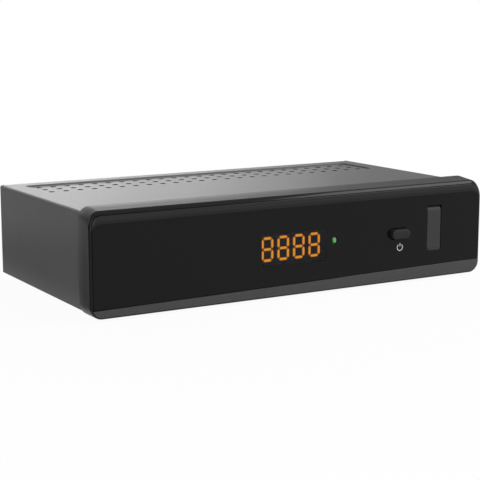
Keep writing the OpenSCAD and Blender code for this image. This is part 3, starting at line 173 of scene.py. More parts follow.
def arc(cx, cz, r, a0, a1, steps):
    """Points on a circle round (cx, cz) from angle a0 to a1 in degrees, by cosine and sine."""
    angles = np.radians(np.linspace(a0, a1, steps))
    return np.stack([cx + r * np.cos(angles), cz + r * np.sin(angles)], -1)


def oblong(cx, cz, w, h, grow, steps):
    """Slot outline with half-round ends. Its straight run keeps its length when it grows."""
    r = min(w, h) / 2 + grow
    run = abs(w - h) / 2
    if w >= h:
        return np.concatenate([arc(cx + run, cz, r, -90, 90, steps), arc(cx - run, cz, r, 90, 270, steps)])
    return np.concatenate([arc(cx, cz + run, r, 0, 180, steps), arc(cx, cz - run, r, 180, 360, steps)])


def rounded(x0, x1, z0, z1, r, grow, steps, upper_r=None):
    """Rectangle with round corners, drawn out by grow while its corner centres stay. The upper two
    corners can have a radius of their own."""
    top_r = r if upper_r is None else upper_r
    return np.concatenate([arc(x1 - r, z0 + r, r + grow, -90, 0, steps),
                           arc(x1 - top_r, z1 - top_r, top_r + grow, 0, 90, steps),
                           arc(x0 + top_r, z1 - top_r, top_r + grow, 90, 180, steps),
                           arc(x0 + r, z0 + r, r + grow, 180, 270, steps)])


print("points on a rounded rectangle with 9 steps:", len(rounded(0, 4, 0, 2, 0.5, 0.0, 9)))

# %% [markdown]
# ## Helpers for finishes
# A finish is a node tree on a Principled shader. It could be a picture of the surface laid on as a
# texture, but nodes need no file and stay sharp close up. The shine and metal values sit on the
# shader itself. A broad noise in object coordinates varies the colour a little. A fine one varies
# the roughness and lifts the surface by at most some hundredths of a millimetre, as moulding grain,
# powder coat or rolling does on the real part.

# %% Finish function
BROAD = 25


def node_of(tree, kind):
    """First node of a kind in a tree."""
    return next(node for node in tree.nodes if node.type == kind)


def finish_of(name, colour, rough, grain=1200.0, lift=0.02, vary=0.06, tint=0.08, metal=0.0,
              shine=0.5, stretch=(1, 1, 1), glow=None):
    """Principled material with a grain. A broad noise varies the colour by tint. A fine one, grain
    times to the metre, varies the roughness by vary and lifts the surface by lift in mm."""
    material = bpy.data.materials.new(name)
    material.use_nodes = True
    tree = material.node_tree
    tree.nodes.clear()
    new = tree.nodes.new
    link = tree.links.new
    out = new("ShaderNodeOutputMaterial")
    shader = new("ShaderNodeBsdfPrincipled")
    place = new("ShaderNodeTexCoord")
    drawn = new("ShaderNodeMapping")
    drawn.inputs["Scale"].default_value = stretch
    fine = new("ShaderNodeTexNoise")
    fine.inputs["Scale"].default_value = grain
    fine.inputs["Detail"].default_value = 3
    broad = new("ShaderNodeTexNoise")
    broad.inputs["Scale"].default_value = grain / BROAD
    broad.inputs["Detail"].default_value = 2
    shade = new("ShaderNodeMapRange")
    shade.inputs["To Min"].default_value = 1 - tint
    shade.inputs["To Max"].default_value = 1 + tint
    mixed = new("ShaderNodeMix")
    mixed.data_type = "RGBA"
    mixed.blend_type = "MULTIPLY"
    mixed.inputs["Factor"].default_value = 1
    mixed.inputs["A"].default_value = (*colour, 1)
    dull = new("ShaderNodeMapRange")
    dull.inputs["To Min"].default_value = max(rough - vary, 0.02)
    dull.inputs["To Max"].default_value = min(rough + vary, 1)
    bump = new("ShaderNodeBump")
    bump.inputs["Strength"].default_value = 0.6
    bump.inputs["Distance"].default_value = lift * 0.001
    link(place.outputs["Object"], drawn.inputs["Vector"])
    link(drawn.outputs["Vector"], fine.inputs["Vector"])
    link(drawn.outputs["Vector"], broad.inputs["Vector"])
    link(broad.outputs["Fac"], shade.inputs["Value"])
    link(shade.outputs["Result"], mixed.inputs["B"])
    link(mixed.outputs["Result"], shader.inputs["Base Color"])
    link(fine.outputs["Fac"], dull.inputs["Value"])
    link(dull.outputs["Result"], shader.inputs["Roughness"])
    link(fine.outputs["Fac"], bump.inputs["Height"])
    link(bump.outputs["Normal"], shader.inputs["Normal"])
    shader.inputs["Metallic"].default_value = metal
    shader.inputs["Specular IOR Level"].default_value = shine
    if glow:
        shader.inputs["Emission Color"].default_value = (*glow[0], 1)
        shader.inputs["Emission Strength"].default_value = glow[1]
    link(shader.outputs["BSDF"], out.inputs["Surface"])
    return material


print("a broad patch is", BROAD, "grains wide")

# %% Table of finishes
# Each row has the colour, the roughness, the grain's count to the metre and its height in mm.
FINISH = {
    "front_plastic": finish_of("front_plastic", (0.046, 0.046, 0.047), 0.42, 2600, 0.012, shine=0.15),
    "button_plastic": finish_of("button_plastic", (0.015, 0.015, 0.0155), 0.46, 2600, 0.010, shine=0.12),
    "cover_plastic": finish_of("cover_plastic", (0.023, 0.023, 0.0235), 0.5, 2600, 0.010, shine=0.2),
    "case_paint": finish_of("case_paint", (0.135, 0.135, 0.136), 0.44, 1500, 0.020, shine=0.1),
    "zinc_steel": finish_of("zinc_steel", (0.62, 0.63, 0.65), 0.36, 500, 0.006, 0.08, 0.06, 1.0,
                            stretch=(0.15, 1, 1)),
    "foot_rubber": finish_of("foot_rubber", (0.018, 0.018, 0.019), 0.75, 1800, 0.03),
    "screw_steel": finish_of("screw_steel", (0.16, 0.16, 0.17), 0.38, 1500, 0.006, metal=1.0),
    "board_green": finish_of("board_green", (0.02, 0.16, 0.07), 0.32, 900, 0.02, tint=0.2),
    "display_black": finish_of("display_black", (0.003, 0.0028, 0.0028), 0.8, 2500, 0.01, shine=0.05),
    "digit_amber": finish_of("digit_amber", (0.05, 0.02, 0.005), 0.5, 2500, 0.01),
    "led_green": finish_of("led_green", (0.1, 0.6, 0.1), 0.25, 1500, 0.01,
                           glow=((0.06, 1.0, 0.07), 0.6)),
    "light_guide": finish_of("light_guide", (0.01, 0.03, 0.01), 0.2, 1500, 0.01),
    "smoked_lens": finish_of("smoked_lens", (0.02, 0.005, 0.01), 0.08, 900, 0.002),
    "black_moulding": finish_of("black_moulding", (0.018, 0.018, 0.020), 0.42, 2400, 0.012),
    "white_moulding": finish_of("white_moulding", (0.74, 0.74, 0.70), 0.45, 2400, 0.012, tint=0.04),
    "grey_plunger": finish_of("grey_plunger", (0.35, 0.35, 0.36), 0.45, 2400, 0.010),
    "nickel": finish_of("nickel", (0.72, 0.71, 0.69), 0.20, 1200, 0.003, metal=1.0, tint=0.04),
    "tin": finish_of("tin", (0.66, 0.67, 0.68), 0.30, 700, 0.005, metal=1.0, tint=0.06),
    "gold": finish_of("gold", (0.83, 0.62, 0.27), 0.24, 1200, 0.003, metal=1.0, tint=0.05),
    "orange_moulding": finish_of("orange_moulding", (0.72, 0.22, 0.03), 0.40, 2400, 0.012),
    "chip_resin": finish_of("chip_resin", (0.022, 0.022, 0.025), 0.55, 3000, 0.015),
    "sink_aluminium": finish_of("sink_aluminium", (0.60, 0.61, 0.63), 0.34, 500, 0.006, metal=1.0,
                                stretch=(1, 0.1, 1)),
    "cap_sleeve": finish_of("cap_sleeve", (0.02, 0.028, 0.08), 0.25, 1000, 0.006),
    "cap_top": finish_of("cap_top", (0.72, 0.73, 0.74), 0.30, 900, 0.004, metal=1.0),
    "coil_ferrite": finish_of("coil_ferrite", (0.07, 0.07, 0.075), 0.6, 2000, 0.03),
    "ceramic_tan": finish_of("ceramic_tan", (0.45, 0.33, 0.21), 0.4, 2500, 0.01),
}
for subpart in frame["record"]["subparts"]:
    if subpart["material_slot"] in FINISH:
        frame["nodes"][subpart["node"]].data.materials[0] = FINISH[subpart["material_slot"]]
print("finishes:", len(FINISH))

# %% [markdown]
# ## The front's form
# The bezel and the gloss panel share one moulded form. Seen from the front it is a rectangle with
# round corners that grows with depth: its sides and bottom start with a quarter round, and its top
# starts as a wide crown, turns over a shoulder and then rises slowly to the rear. All surfaces of
# the front are taken from these outlines, so the panel lies flush in its seat.

# %% Sizes of the front
W, H, D, BOTTOM, FRONT = 168.0, 37.8, 9.8, 1.3, -47.95
TOP = BOTTOM + H
CORNER, RIM = 4.5, 0.9
LENS_DROP, TOP_FALL, SHOULDER = 2.2, 0.85, 2.0
CROWN_R, CROWN_H = 8.0, 3.5
CROWN_Y = CROWN_R - math.sqrt(CROWN_R ** 2 - CROWN_H ** 2)
CROWN_TURN = math.radians(75)
CHIN_LEFT, CHIN_RIGHT, CHIN_RATE, CHIN_SEAM, FAR_BELOW = 3.2, 5.4, 2.2, 0.12, -60.0
PLATE_Y0, PLATE_Y1 = 2.1, 4.1
PLATE_BACK = FRONT + PLATE_Y1
CASE_W, CASE_Z0, CASE_Z1 = 164.4, 2.5, 37.1
TINY, HALVINGS = 1e-9, 36
print("front in mm:", W, "wide,", H, "high,", D, "deep")


# %% The form as formulas
def side_in(y):
    """How far the sides and the bottom step in at depth y: a quarter circle of radius RIM."""
    return RIM - np.sqrt(np.maximum(RIM ** 2 - np.maximum(RIM - y, 0) ** 2, 0))


def top_in(y):
    """How far the top lies below its highest line at depth y: a circle's arc for the crown, a sine
    for the shoulder, then a straight slope."""
    y = np.asarray(y, float)
    crown = LENS_DROP + CROWN_H - np.sqrt(np.maximum(CROWN_R ** 2 - (CROWN_R - y) ** 2, 0))
    risen = np.sin(CROWN_TURN * (y - CROWN_Y) / (SHOULDER - CROWN_Y)) / math.sin(CROWN_TURN)
    shoulder = LENS_DROP - (LENS_DROP - TOP_FALL) * risen
    slope = TOP_FALL * (D - y) / (D - SHOULDER)
    return np.select([y <= CROWN_Y, y <= SHOULDER], [crown, shoulder], slope)


def length_of(arrows):
    """Length of each flat arrow of an array, and never less than TINY, so that it can divide."""
    return np.maximum(np.linalg.norm(arrows, axis=1), TINY)


def onto(ring, half, z0, z1, r):
    """Nearest point to each point of the ring on a rectangle with corner radius r: clamp it to the
    core, which is the rectangle drawn in by r, then go out by r."""
    core = np.stack([np.clip(ring[:, 0], r - half, half - r), np.clip(ring[:, 1], z0 + r, z1 - r)], -1)
    way = ring - core
    return core + way * (r / length_of(way))[:, None]


def depth_at(places):
    """Depth of the form's skin under each place (x, z): halve the range of y until the outline at
    that depth passes through the place."""
    low, high = np.zeros(len(places)), np.full(len(places), D)
    for _ in range(HALVINGS):
        y = (low + high) / 2
        sides = side_in(y)
        r = CORNER - sides
        past_x = np.abs(places[:, 0]) - (W / 2 - CORNER)
        past_z = np.maximum(places[:, 1] - (TOP - top_in(y) - r), BOTTOM + sides + r - places[:, 1])
        past_core = np.hypot(np.maximum(past_x, 0), np.maximum(past_z, 0))
        inside = past_core + np.minimum(np.maximum(past_x, past_z), 0) - r <= TINY
        high = np.where(inside, y, high)
        low = np.where(inside, low, y)
    return np.where(high < 1e-6, 0.0, high)


def chin(x):
    """Height of the gloss panel's lower edge, which rises from left to right."""
    return BOTTOM + CHIN_LEFT + (CHIN_RIGHT - CHIN_LEFT) * (x + W / 2) / W


def panel_edge(ring, inset):
    """Outline of the gloss panel drawn in by inset, at the points nearest to the ring. Over the chin it
    lies CHIN_RATE times the inset further in, and at most CHIN_SEAM more than the inset, so the seam
    there is the widest."""
    r = max(CORNER - RIM - inset, 0.0)
    half, top = W / 2 - RIM - inset, TOP - LENS_DROP - inset
    edge = onto(ring, half, FAR_BELOW, top, r) if r > 0 else np.clip(ring, (-half, FAR_BELOW), (half, top))
    x = np.clip(edge[:, 0], -half, half)
    return np.stack([x, np.maximum(edge[:, 1], chin(x) + min(CHIN_RATE * inset, inset + CHIN_SEAM))], -1)


print("the top lies lower by", [round(float(drop), 2) for drop in top_in([0, SHOULDER, D])],
      "mm at the front, the shoulder and the rear")

# %% Master ring
# Every outline of the front is worked out at the points nearest to this one ring.
ARC_STEPS = 19
CORE_X, CORE_Z0, CORE_Z1 = W / 2 - CORNER, BOTTOM + CORNER, TOP - CORNER
side_z = np.concatenate([[6.7], np.linspace(8.8, 29.6, 8), np.linspace(29.8, CORE_Z1, 16)[:-1]])
top_x = np.linspace(-CORE_X, CORE_X, 25)[1:-1]
MASTER = np.concatenate([
    np.stack([top_x, np.full(len(top_x), BOTTOM)], -1),
    arc(CORE_X, CORE_Z0, CORNER, -90, 0, ARC_STEPS),
    np.stack([np.full(len(side_z), W / 2), side_z], -1),
    arc(CORE_X, CORE_Z1, CORNER, 0, 90, ARC_STEPS),
    np.stack([top_x[::-1], np.full(len(top_x), TOP)], -1),
    arc(-CORE_X, CORE_Z1, CORNER, 90, 180, ARC_STEPS),
    np.stack([np.full(len(side_z), -W / 2), side_z[::-1]], -1),
    arc(-CORE_X, CORE_Z0, CORNER, 180, 270, ARC_STEPS)])
print("points round the front:", len(MASTER))

# %% [markdown]
# ## Holes in the front
# The light pipe, the power button, the infrared receiver, the display and the USB cover each pass
# the panel or the plate behind it. Their outlines are kept in one place, because both pieces and
# the parts in them use the same centres.

# %% Hole outlines
LED_X, LED_Z = 14.5, 20.1
BUTTON_X, BUTTON_Z = 43.9, 20.1
IR_X, IR_Z = 28.0, 20.1
USB_X, USB_Z0, USB_Z1, USB_W = 60.9, 12.0, 29.6, 6.5
DISPLAY_X, DISPLAY_Z, DISPLAY_HALF_W, DISPLAY_HALF_H = -3.2, 18.9, 15.2, 7.2
SOCKET_HALF_W, SOCKET_Z0, SOCKET_Z1 = 3.45, 12.8, 29.8
HINGE_R = 2.1
HINGE_Z = USB_Z1 - HINGE_R
GAP, FOOT_R, CRISP_R = 0.2, 1.1, 0.05


def pipe_hole(grow):
    """Slot round the light pipe."""
    return oblong(LED_X, LED_Z, 2.4, 2.9, grow, 13)


def button_hole(grow):
    """Slot round the power button."""
    return oblong(BUTTON_X, BUTTON_Z, 9.0, 4.3, grow, 19)


def cover_hole(grow):
    """Rectangle round the USB cover, whose lower corners are round as the cover's foot is."""
    half = USB_W / 2 + GAP
    return rounded(USB_X - half, USB_X + half, USB_Z0 - GAP, USB_Z1 + GAP, FOOT_R + GAP, grow, 9, CRISP_R)


def display_hole(grow):
    """Crisp rectangle round the display."""
    return rounded(DISPLAY_X - DISPLAY_HALF_W, DISPLAY_X + DISPLAY_HALF_W,
                   DISPLAY_Z - DISPLAY_HALF_H, DISPLAY_Z + DISPLAY_HALF_H, CRISP_R, grow, 3)


def ir_hole(grow):
    """Circle in front of the infrared receiver."""
    return arc(IR_X, IR_Z, 3.2 + grow, 0, 360, 33)[:-1]


def socket_hole(grow):
    """Crisp rectangle round the USB socket."""
    return rounded(USB_X - SOCKET_HALF_W, USB_X + SOCKET_HALF_W, SOCKET_Z0, SOCKET_Z1, CRISP_R, grow, 3)


def hole_wall(outline, y0, y1, soft):
    """Wall of a hole from depth y0 to y1. Its front edge is a quarter circle of radius soft."""
    rings = [upright(outline(soft * (1 - math.sin(angle))), FRONT + y0 + soft * (1 - math.cos(angle)))
             for angle in np.radians([0, 30, 60, 90])]
    return stack([*rings, upright(outline(0.0), FRONT + y1)])


PANEL_HOLES = (pipe_hole, button_hole, cover_hole)
PLATE_HOLES = (pipe_hole, button_hole, display_hole, ir_hole, socket_hole)
print("holes in the panel:", len(PANEL_HOLES), "and in the plate:", len(PLATE_HOLES))


# %% [markdown]
# ## Gloss panel
# The panel is a smoked acrylic moulding, two millimetres thick. Its upper edge bends back with the
# crown. It could be a flat plate with a bent strip, but the bend dies out in the round corners, so
# the rings of its outline are laid on the form by the depth formula instead.

# %% Gloss panel surface
PANEL_T, EDGE_GAP, EDGE_R, HOLE_R = 2.0, 0.1, 0.15, 0.12
panel_rings = [upright(panel_edge(MASTER, EDGE_GAP), FRONT + PANEL_T)]
for angle in np.radians([0, 30, 60, 90]):
    outline = panel_edge(MASTER, EDGE_GAP + EDGE_R * (1 - math.cos(angle)))
    panel_rings.append(upright(outline, FRONT + depth_at(outline) + EDGE_R * (1 - math.sin(angle))))
for inset in [*np.arange(0.45, 3.7, 0.25), 4.2]:
    outline = panel_edge(MASTER, inset)
    panel_rings.append(upright(outline, FRONT + depth_at(outline)))
panel_parts = [stack(panel_rings),
               fill(panel_rings[-1], [upright(hole(HOLE_R), FRONT) for hole in PANEL_HOLES]),
               fill(panel_rings[0], [upright(hole(0.0), FRONT + PANEL_T) for hole in PANEL_HOLES]),
               *[hole_wall(hole, 0.0, PANEL_T, HOLE_R) for hole in PANEL_HOLES]]
print("points on the panel's rings:", len(panel_rings) * len(MASTER))

# %% [markdown]
# The panel's finish is deep gloss black. In front of the digits the black stops, so the lit
# segments shine through smoked acrylic. The window could be a piece of its own, but it would need a
# seam. Here it is a mask in object coordinates, and a Transparent shader is added to the gloss
# there, so both areas mirror the room alike.

# %% Gloss panel finish
WINDOW_HALF_W, WINDOW_HALF_H, WINDOW_SOFT, SMOKE = 14, 6, 0.2, 0.5


def gloss_with_window(name):
    """Gloss black with a see-through rectangle: product of two soft steps, one on the distance from
    the window's middle in x and one in z. SMOKE is the share of light that passes."""
    material = finish_of(name, (0.004, 0.004, 0.0042), 0.08, 400, 0.0006, vary=0.015, tint=0.05,
                         shine=0.125)
    tree = material.node_tree
    new = tree.nodes.new
    link = tree.links.new
    place = new("ShaderNodeTexCoord")
    split = new("ShaderNodeSeparateXYZ")
    link(place.outputs["Object"], split.inputs["Vector"])
    masks = []
    for axis, middle, half in (("X", DISPLAY_X, WINDOW_HALF_W), ("Z", DISPLAY_Z, WINDOW_HALF_H)):
        offset = new("ShaderNodeMath")
        offset.operation = "SUBTRACT"
        offset.inputs[1].default_value = middle / 1000
        distance = new("ShaderNodeMath")
        distance.operation = "ABSOLUTE"
        inside = new("ShaderNodeMapRange")
        inside.inputs["From Min"].default_value = half / 1000
        inside.inputs["From Max"].default_value = (half - WINDOW_SOFT) / 1000
        link(split.outputs[axis], offset.inputs[0])
        link(offset.outputs[0], distance.inputs[0])
        link(distance.outputs[0], inside.inputs["Value"])
        masks.append(inside)
    both = new("ShaderNodeMath")
    both.operation = "MULTIPLY"
    link(masks[0].outputs["Result"], both.inputs[0])
    link(masks[1].outputs["Result"], both.inputs[1])
    colour = new("ShaderNodeMix")
    colour.data_type = "RGBA"
    colour.inputs["A"].default_value = (0, 0, 0, 1)
    colour.inputs["B"].default_value = (SMOKE, SMOKE, SMOKE, 1)
    link(both.outputs[0], colour.inputs["Factor"])
    through = new("ShaderNodeBsdfTransparent")
    link(colour.outputs["Result"], through.inputs["Color"])
    total = new("ShaderNodeAddShader")
    link(node_of(tree, "BSDF_PRINCIPLED").outputs["BSDF"], total.inputs[0])
    link(through.outputs["BSDF"], total.inputs[1])
    link(total.outputs["Shader"], node_of(tree, "OUTPUT_MATERIAL").inputs["Surface"])
    return material


FINISH["gloss_panel"] = gloss_with_window("gloss_panel")
gloss_panel = build("gloss_panel", panel_parts, "cabinet", FINISH["gloss_panel"], ("front_lens",))

# %% [markdown]
# ## Front bezel
# The bezel is one moulding: a plate behind the panel, a rim round it and a skirt over the case. It
# is a single stack of rings that starts on the plate's front, climbs the seat's wall, runs over the
# rim, the shoulder and the outer sides, turns round the rear edge and ends on the plate's back. The
# bosses and snap hooks behind the plate are short stacks of their own. Boolean modifiers could cut
# it from a block, but they leave long thin faces, which shade badly.

# %% Front bezel surface
LIP_OUT, REAR_R, GROOVE, GROOVE_CLEAR = 0.1, 0.25, 0.07, 3.0


def step_up(value, edge, width):
    """Smooth step from 0 to 1 over width round edge: with t from 0 to 1, 3t squared minus 2t cubed."""
    t = np.clip((value - edge) / width + 0.5, 0, 1)
    return t * t * (3 - 2 * t)


def band_end(z):
    """Depth at which the gloss band ends: the rim's radius on the sides, the shoulder on top."""
    return RIM + (SHOULDER - RIM) * step_up(z, TOP - CORNER / 2, CORNER)


def skin(y, inset=0.0):
    """The form's outline with a depth y of its own for each point of the ring, drawn in by inset."""
    sides = side_in(y) + inset
    outline = onto(MASTER, W / 2 - sides, BOTTOM + sides, TOP - top_in(y) - inset, CORNER - sides)
    return upright(outline, FRONT + y)


seat = panel_edge(MASTER, 0.0)
lip = seat + LIP_OUT * (MASTER - seat) / length_of(MASTER - seat)[:, None]
lip_y = depth_at(lip)
band_y = band_end(MASTER[:, 1])
bezel_rings = [upright(seat, FRONT + PLATE_Y0), upright(seat, FRONT + depth_at(seat) + LIP_OUT),
               upright(lip, FRONT + lip_y)]
for share in np.sin(np.radians(np.linspace(0, 90, 9))) ** 2:
    bezel_rings.append(skin(lip_y + (band_y - lip_y) * share))
groove = GROOVE * step_up(MASTER[:, 1], BOTTOM + CORNER, GROOVE_CLEAR)
for past_band, inset in ((0.02, 0.0), (0.06, groove), (0.16, groove), (0.2, 0.0)):
    bezel_rings.append(skin(band_y + past_band, inset))
for share in (0.04, 0.09, 0.15, 0.25, 0.45, 1.0):
    bezel_rings.append(skin(band_y + 0.2 + (D - REAR_R - band_y - 0.2) * share))
for angle in np.radians([30, 60, 90]):
    bezel_rings.append(skin(np.full(len(MASTER), D), REAR_R * (1 - math.cos(angle)))
                       - [0, REAR_R * (1 - math.sin(angle)), 0])
skirt_r = np.where(MASTER[:, 1] > (TOP + BOTTOM) / 2, 1.0, CRISP_R)
skirt = onto(MASTER, CASE_W / 2 + 0.15, CASE_Z0 - 0.15, CASE_Z1 + 0.15, skirt_r)
bezel_rings += [upright(skirt, FRONT + D), upright(skirt, FRONT + PLATE_Y1)]
bezel_parts = [stack(bezel_rings),
               fill(bezel_rings[0], [upright(hole(0.0), FRONT + PLATE_Y0) for hole in PLATE_HOLES]),
               fill(bezel_rings[-1], [upright(hole(0.0), FRONT + PLATE_Y1) for hole in PLATE_HOLES]),
               *[hole_wall(hole, PLATE_Y0, PLATE_Y1, 0.0) for hole in PLATE_HOLES]]
print("rings from the seat round to the plate's back:", len(bezel_rings))

# %% Bosses and snap hooks behind the plate
BOSSES = [(x, z) for x in (-23.7, 69.4) for z in (12.4, 28.4)]
HOOK_X, HOOK_HALF_W = (-60.0, 60.0), 4
boss = [(-43.86, 2.7), (-35.9, 2.7), (-35.65, 2.45), (-35.65, 1.35), (-35.75, 1.25), (-43.05, 1.25)]
hook = [(-43.86, 0), (-40.25, 0), (-40.25, 0.6), (-41.85, 2.0), (-42.25, 2.0), (-42.25, 1.2),
        (-43.86, 1.2)]
for x, z in BOSSES:
    bezel_parts += turned(boss, (x, 0, z), "y")
for x in HOOK_X:
    for z, way_in in ((4.3, 1), (35.3, -1)):
        bezel_parts += prism([[(x + side, y, z + way_in * height) for y, height in hook]
                              for side in (-HOOK_HALF_W, HOOK_HALF_W)])
print("bosses:", len(BOSSES), "hooks:", 2 * len(HOOK_X))


# %% Bezel mesh and its gloss band
def in_band(x, y, z):
    """The gloss band in front of the groove, the rim's turn under the chin, and the walls of the
    display's window."""
    off_x, off_z = np.abs(x - DISPLAY_X), np.abs(z - DISPLAY_Z)
    in_window = (off_x < DISPLAY_HALF_W + 0.1) & (off_z < DISPLAY_HALF_H + 0.1)
    past_face = (z > chin(x)) | (y > FRONT + 0.05)
    return past_face & (y < FRONT + band_end(z) + 0.15) | in_window


FINISH["gloss_black"] = finish_of("gloss_black", (0.0045, 0.0045, 0.005), 0.10, 900, 0.001, vary=0.02,
                                  shine=0.16)
front_bezel = build("bezel", bezel_parts, "cabinet", FINISH["front_plastic"], ("front_bezel",),
                    second=(FINISH["gloss_black"], in_band))

# %% [markdown]
# ## Steel cover
# The cover is one sheet of painted steel, 0.6 mm thick, bent down at both sides and over the rear
# wall. A shallow recess is pressed into its top, and three rows of holes are punched in the recess.
# A flat sheet with a Solidify modifier would leave the bends and the recess sharp. Here each bend is
# an arc carried along the case, and the recess's wall is a stack of its outline on two small arcs.
# At the front that wall is a gentle ramp, so it doesn't hide the first row of holes from low down.

# %% Steel cover: side walls and the outline of the top
CASE_Y0, CASE_Y1, SHEET, BEND = -43.35, 41.35, 0.6, 1.0
SIDE_X, BEND_X, BEND_Z = CASE_W / 2, CASE_W / 2 - BEND, CASE_Z1 - BEND
LIP_X, LIP_Z, LIP_Y, NOTCH_X = 80.4, 30.1, CASE_Y1 - BEND, 80.6


def level(xy, z):
    """Turns points (x, y) into points (x, y, z) at one height."""
    return np.column_stack([xy, np.full(len(xy), z)])


section = np.concatenate([
    arc(BEND_X, BEND_Z, BEND - SHEET, 90, 0, 7),
    [(SIDE_X - SHEET, CASE_Z0 + 0.15), (SIDE_X - 0.45, CASE_Z0), (SIDE_X - 0.15, CASE_Z0),
     (SIDE_X - 0.04, CASE_Z0 + 0.04), (SIDE_X, CASE_Z0 + 0.15)],
    arc(BEND_X, BEND_Z, BEND, 0, 90, 11)])
cover_parts = []
for side in (-1, 1):
    ends = [upright(section * [side, 1], y) for y in (CASE_Y0, CASE_Y1)]
    cover_parts += [stack(ends, closed=False), fill(ends[0]), fill(ends[1])]
sheet_edge = np.array([(-BEND_X, CASE_Y0), (BEND_X, CASE_Y0), (BEND_X, CASE_Y1), (NOTCH_X, CASE_Y1),
                       (NOTCH_X, LIP_Y), (LIP_X, LIP_Y), (-LIP_X, LIP_Y), (-NOTCH_X, LIP_Y),
                       (-NOTCH_X, CASE_Y1), (-BEND_X, CASE_Y1)])
print("points in the side wall's section:", len(section))

# %% Steel cover: recess and vents
PITCH_X, PITCH_Y, BORDER, VENT_R, VENT_SOFT = 5.88, 6.5, 4.2, 1.15, 0.08
ROWS, HALF_ROW = 3, 12
RECESS_X, RECESS_Y0, RECESS_R = HALF_ROW * PITCH_X + BORDER, 13.05, 2.0
RECESS_Y1 = RECESS_Y0 + (ROWS - 1) * PITCH_Y + 2 * BORDER
WALL_TOP_R, WALL_LOW_R, RAMP = 0.2, 0.15, 2.0
floor_z = CASE_Z1 - SHEET
vents = [(PITCH_X * column, RECESS_Y0 + BORDER + PITCH_Y * row)
         for row in range(ROWS) for column in range(-HALF_ROW, HALF_ROW + 1)]


def recess(grow, ramp=0.0):
    """Outline of the recess, drawn out by grow, with its front edge moved forward by ramp."""
    return rounded(-RECESS_X, RECESS_X, RECESS_Y0 - ramp, RECESS_Y1, RECESS_R, grow, 10)


def ramp_at(deep):
    """How far forward the front wall lies at a depth: RAMP times 1 minus the root of the share of the
    full depth, so it leaves the top level and steepens."""
    return RAMP * (1 - math.sqrt(deep / SHEET))


def vent(x, y, r):
    """Circle of radius r round a vent's centre."""
    return arc(x, y, r, 0, 360, 21)[:-1]


quarter = np.radians(np.linspace(0, 90, 6))
wall = [(WALL_TOP_R * (1 - math.sin(angle)), WALL_TOP_R * (1 - math.cos(angle))) for angle in quarter]
wall += [(WALL_LOW_R * (math.cos(angle) - 1), SHEET + WALL_LOW_R * (math.sin(angle) - 1))
         for angle in quarter]
recess_rings = [level(recess(grow, ramp_at(deep)), CASE_Z1 - deep) for grow, deep in wall]
under_rings = [level(recess(SHEET), z) for z in (floor_z, floor_z - SHEET)]
cover_parts += [
    fill(level(sheet_edge, CASE_Z1), [recess_rings[0]]), stack(recess_rings),
    fill(recess_rings[-1], [level(vent(x, y, VENT_R + VENT_SOFT), floor_z) for x, y in vents]),
    fill(level(sheet_edge, floor_z), [under_rings[0]]), stack(under_rings),
    fill(under_rings[-1], [level(vent(x, y, VENT_R), floor_z - SHEET) for x, y in vents])]
vent_wall = ((VENT_R + VENT_SOFT, 0), (VENT_R + 0.023, 0.023), (VENT_R, VENT_SOFT), (VENT_R, SHEET))
for x, y in vents:
    cover_parts.append(stack([level(vent(x, y, r), floor_z - deep) for r, deep in vent_wall]))
print("vents:", len(vents))

# %% Steel cover: rear lip and front flange
SCREW_X, SCREW_Z, SCREW_HOLE_R = (-66.2, 0.0, 66.2), 33.6, 1.7
FLANGE_X, FLANGE_Z0, FLANGE_Z1 = 80.6, 32.1, 36.51
SLOT_HALF_W, SLOT_Z0, SLOT_Z1 = 4.3, 34.0, 35.6


def crosswise(yz, x):
    """Turns points (y, z) into points (x, y, z) at one x."""
    return np.column_stack([np.full(len(yz), x), yz])


def lip_hole(x, y):
    """Circle of a screw hole in the rear lip."""
    return upright(arc(x, SCREW_Z, SCREW_HOLE_R, 0, 360, 25)[:-1], y)


def upright_plate(x0, x1, z0, z1, y):
    """The four corners of an upright rectangle."""
    return [(x0, y, z0), (x1, y, z0), (x1, y, z1), (x0, y, z1)]


lip_out = arc(LIP_Y, BEND_Z, BEND, 90, 0, 9)
lip_in = arc(LIP_Y, BEND_Z, BEND - SHEET, 90, 0, 6)
lip_foot = np.array([(CASE_Y1 - SHEET, LIP_Z), (CASE_Y1, LIP_Z)])
lip_side = np.concatenate([lip_out, lip_foot[::-1], lip_in[::-1]])
cover_parts += [stack([crosswise(line, x) for x in (-LIP_X, LIP_X)], closed=False)
                for line in (lip_out, lip_in, lip_foot)]
cover_parts += [fill(upright_plate(-LIP_X, LIP_X, BEND_Z, LIP_Z, y), [lip_hole(x, y) for x in SCREW_X])
                for y in (CASE_Y1, CASE_Y1 - SHEET)]
cover_parts += [stack([lip_hole(x, y) for y in (CASE_Y1, CASE_Y1 - SHEET)]) for x in SCREW_X]
cover_parts += [fill(crosswise(lip_side, x)) for x in (-LIP_X, LIP_X)]
cover_parts += [stack([level(line, z) for z in (CASE_Z1, floor_z)], closed=False)
                for line in (sheet_edge[:2], sheet_edge[2:6], sheet_edge[6:])]
flange = [upright_plate(-FLANGE_X, FLANGE_X, FLANGE_Z0, FLANGE_Z1, y) for y in (CASE_Y0, CASE_Y0 + SHEET)]
slots = [[upright_plate(x - SLOT_HALF_W, x + SLOT_HALF_W, SLOT_Z0, SLOT_Z1, y) for x in HOOK_X]
         for y in (CASE_Y0, CASE_Y0 + SHEET)]
cover_parts += [stack(flange), fill(flange[0], slots[0]), fill(flange[1], slots[1]),
                *[stack(pair) for pair in zip(*slots)]]
print("screw holes:", len(SCREW_X), "slots for the hooks:", len(slots[0]))


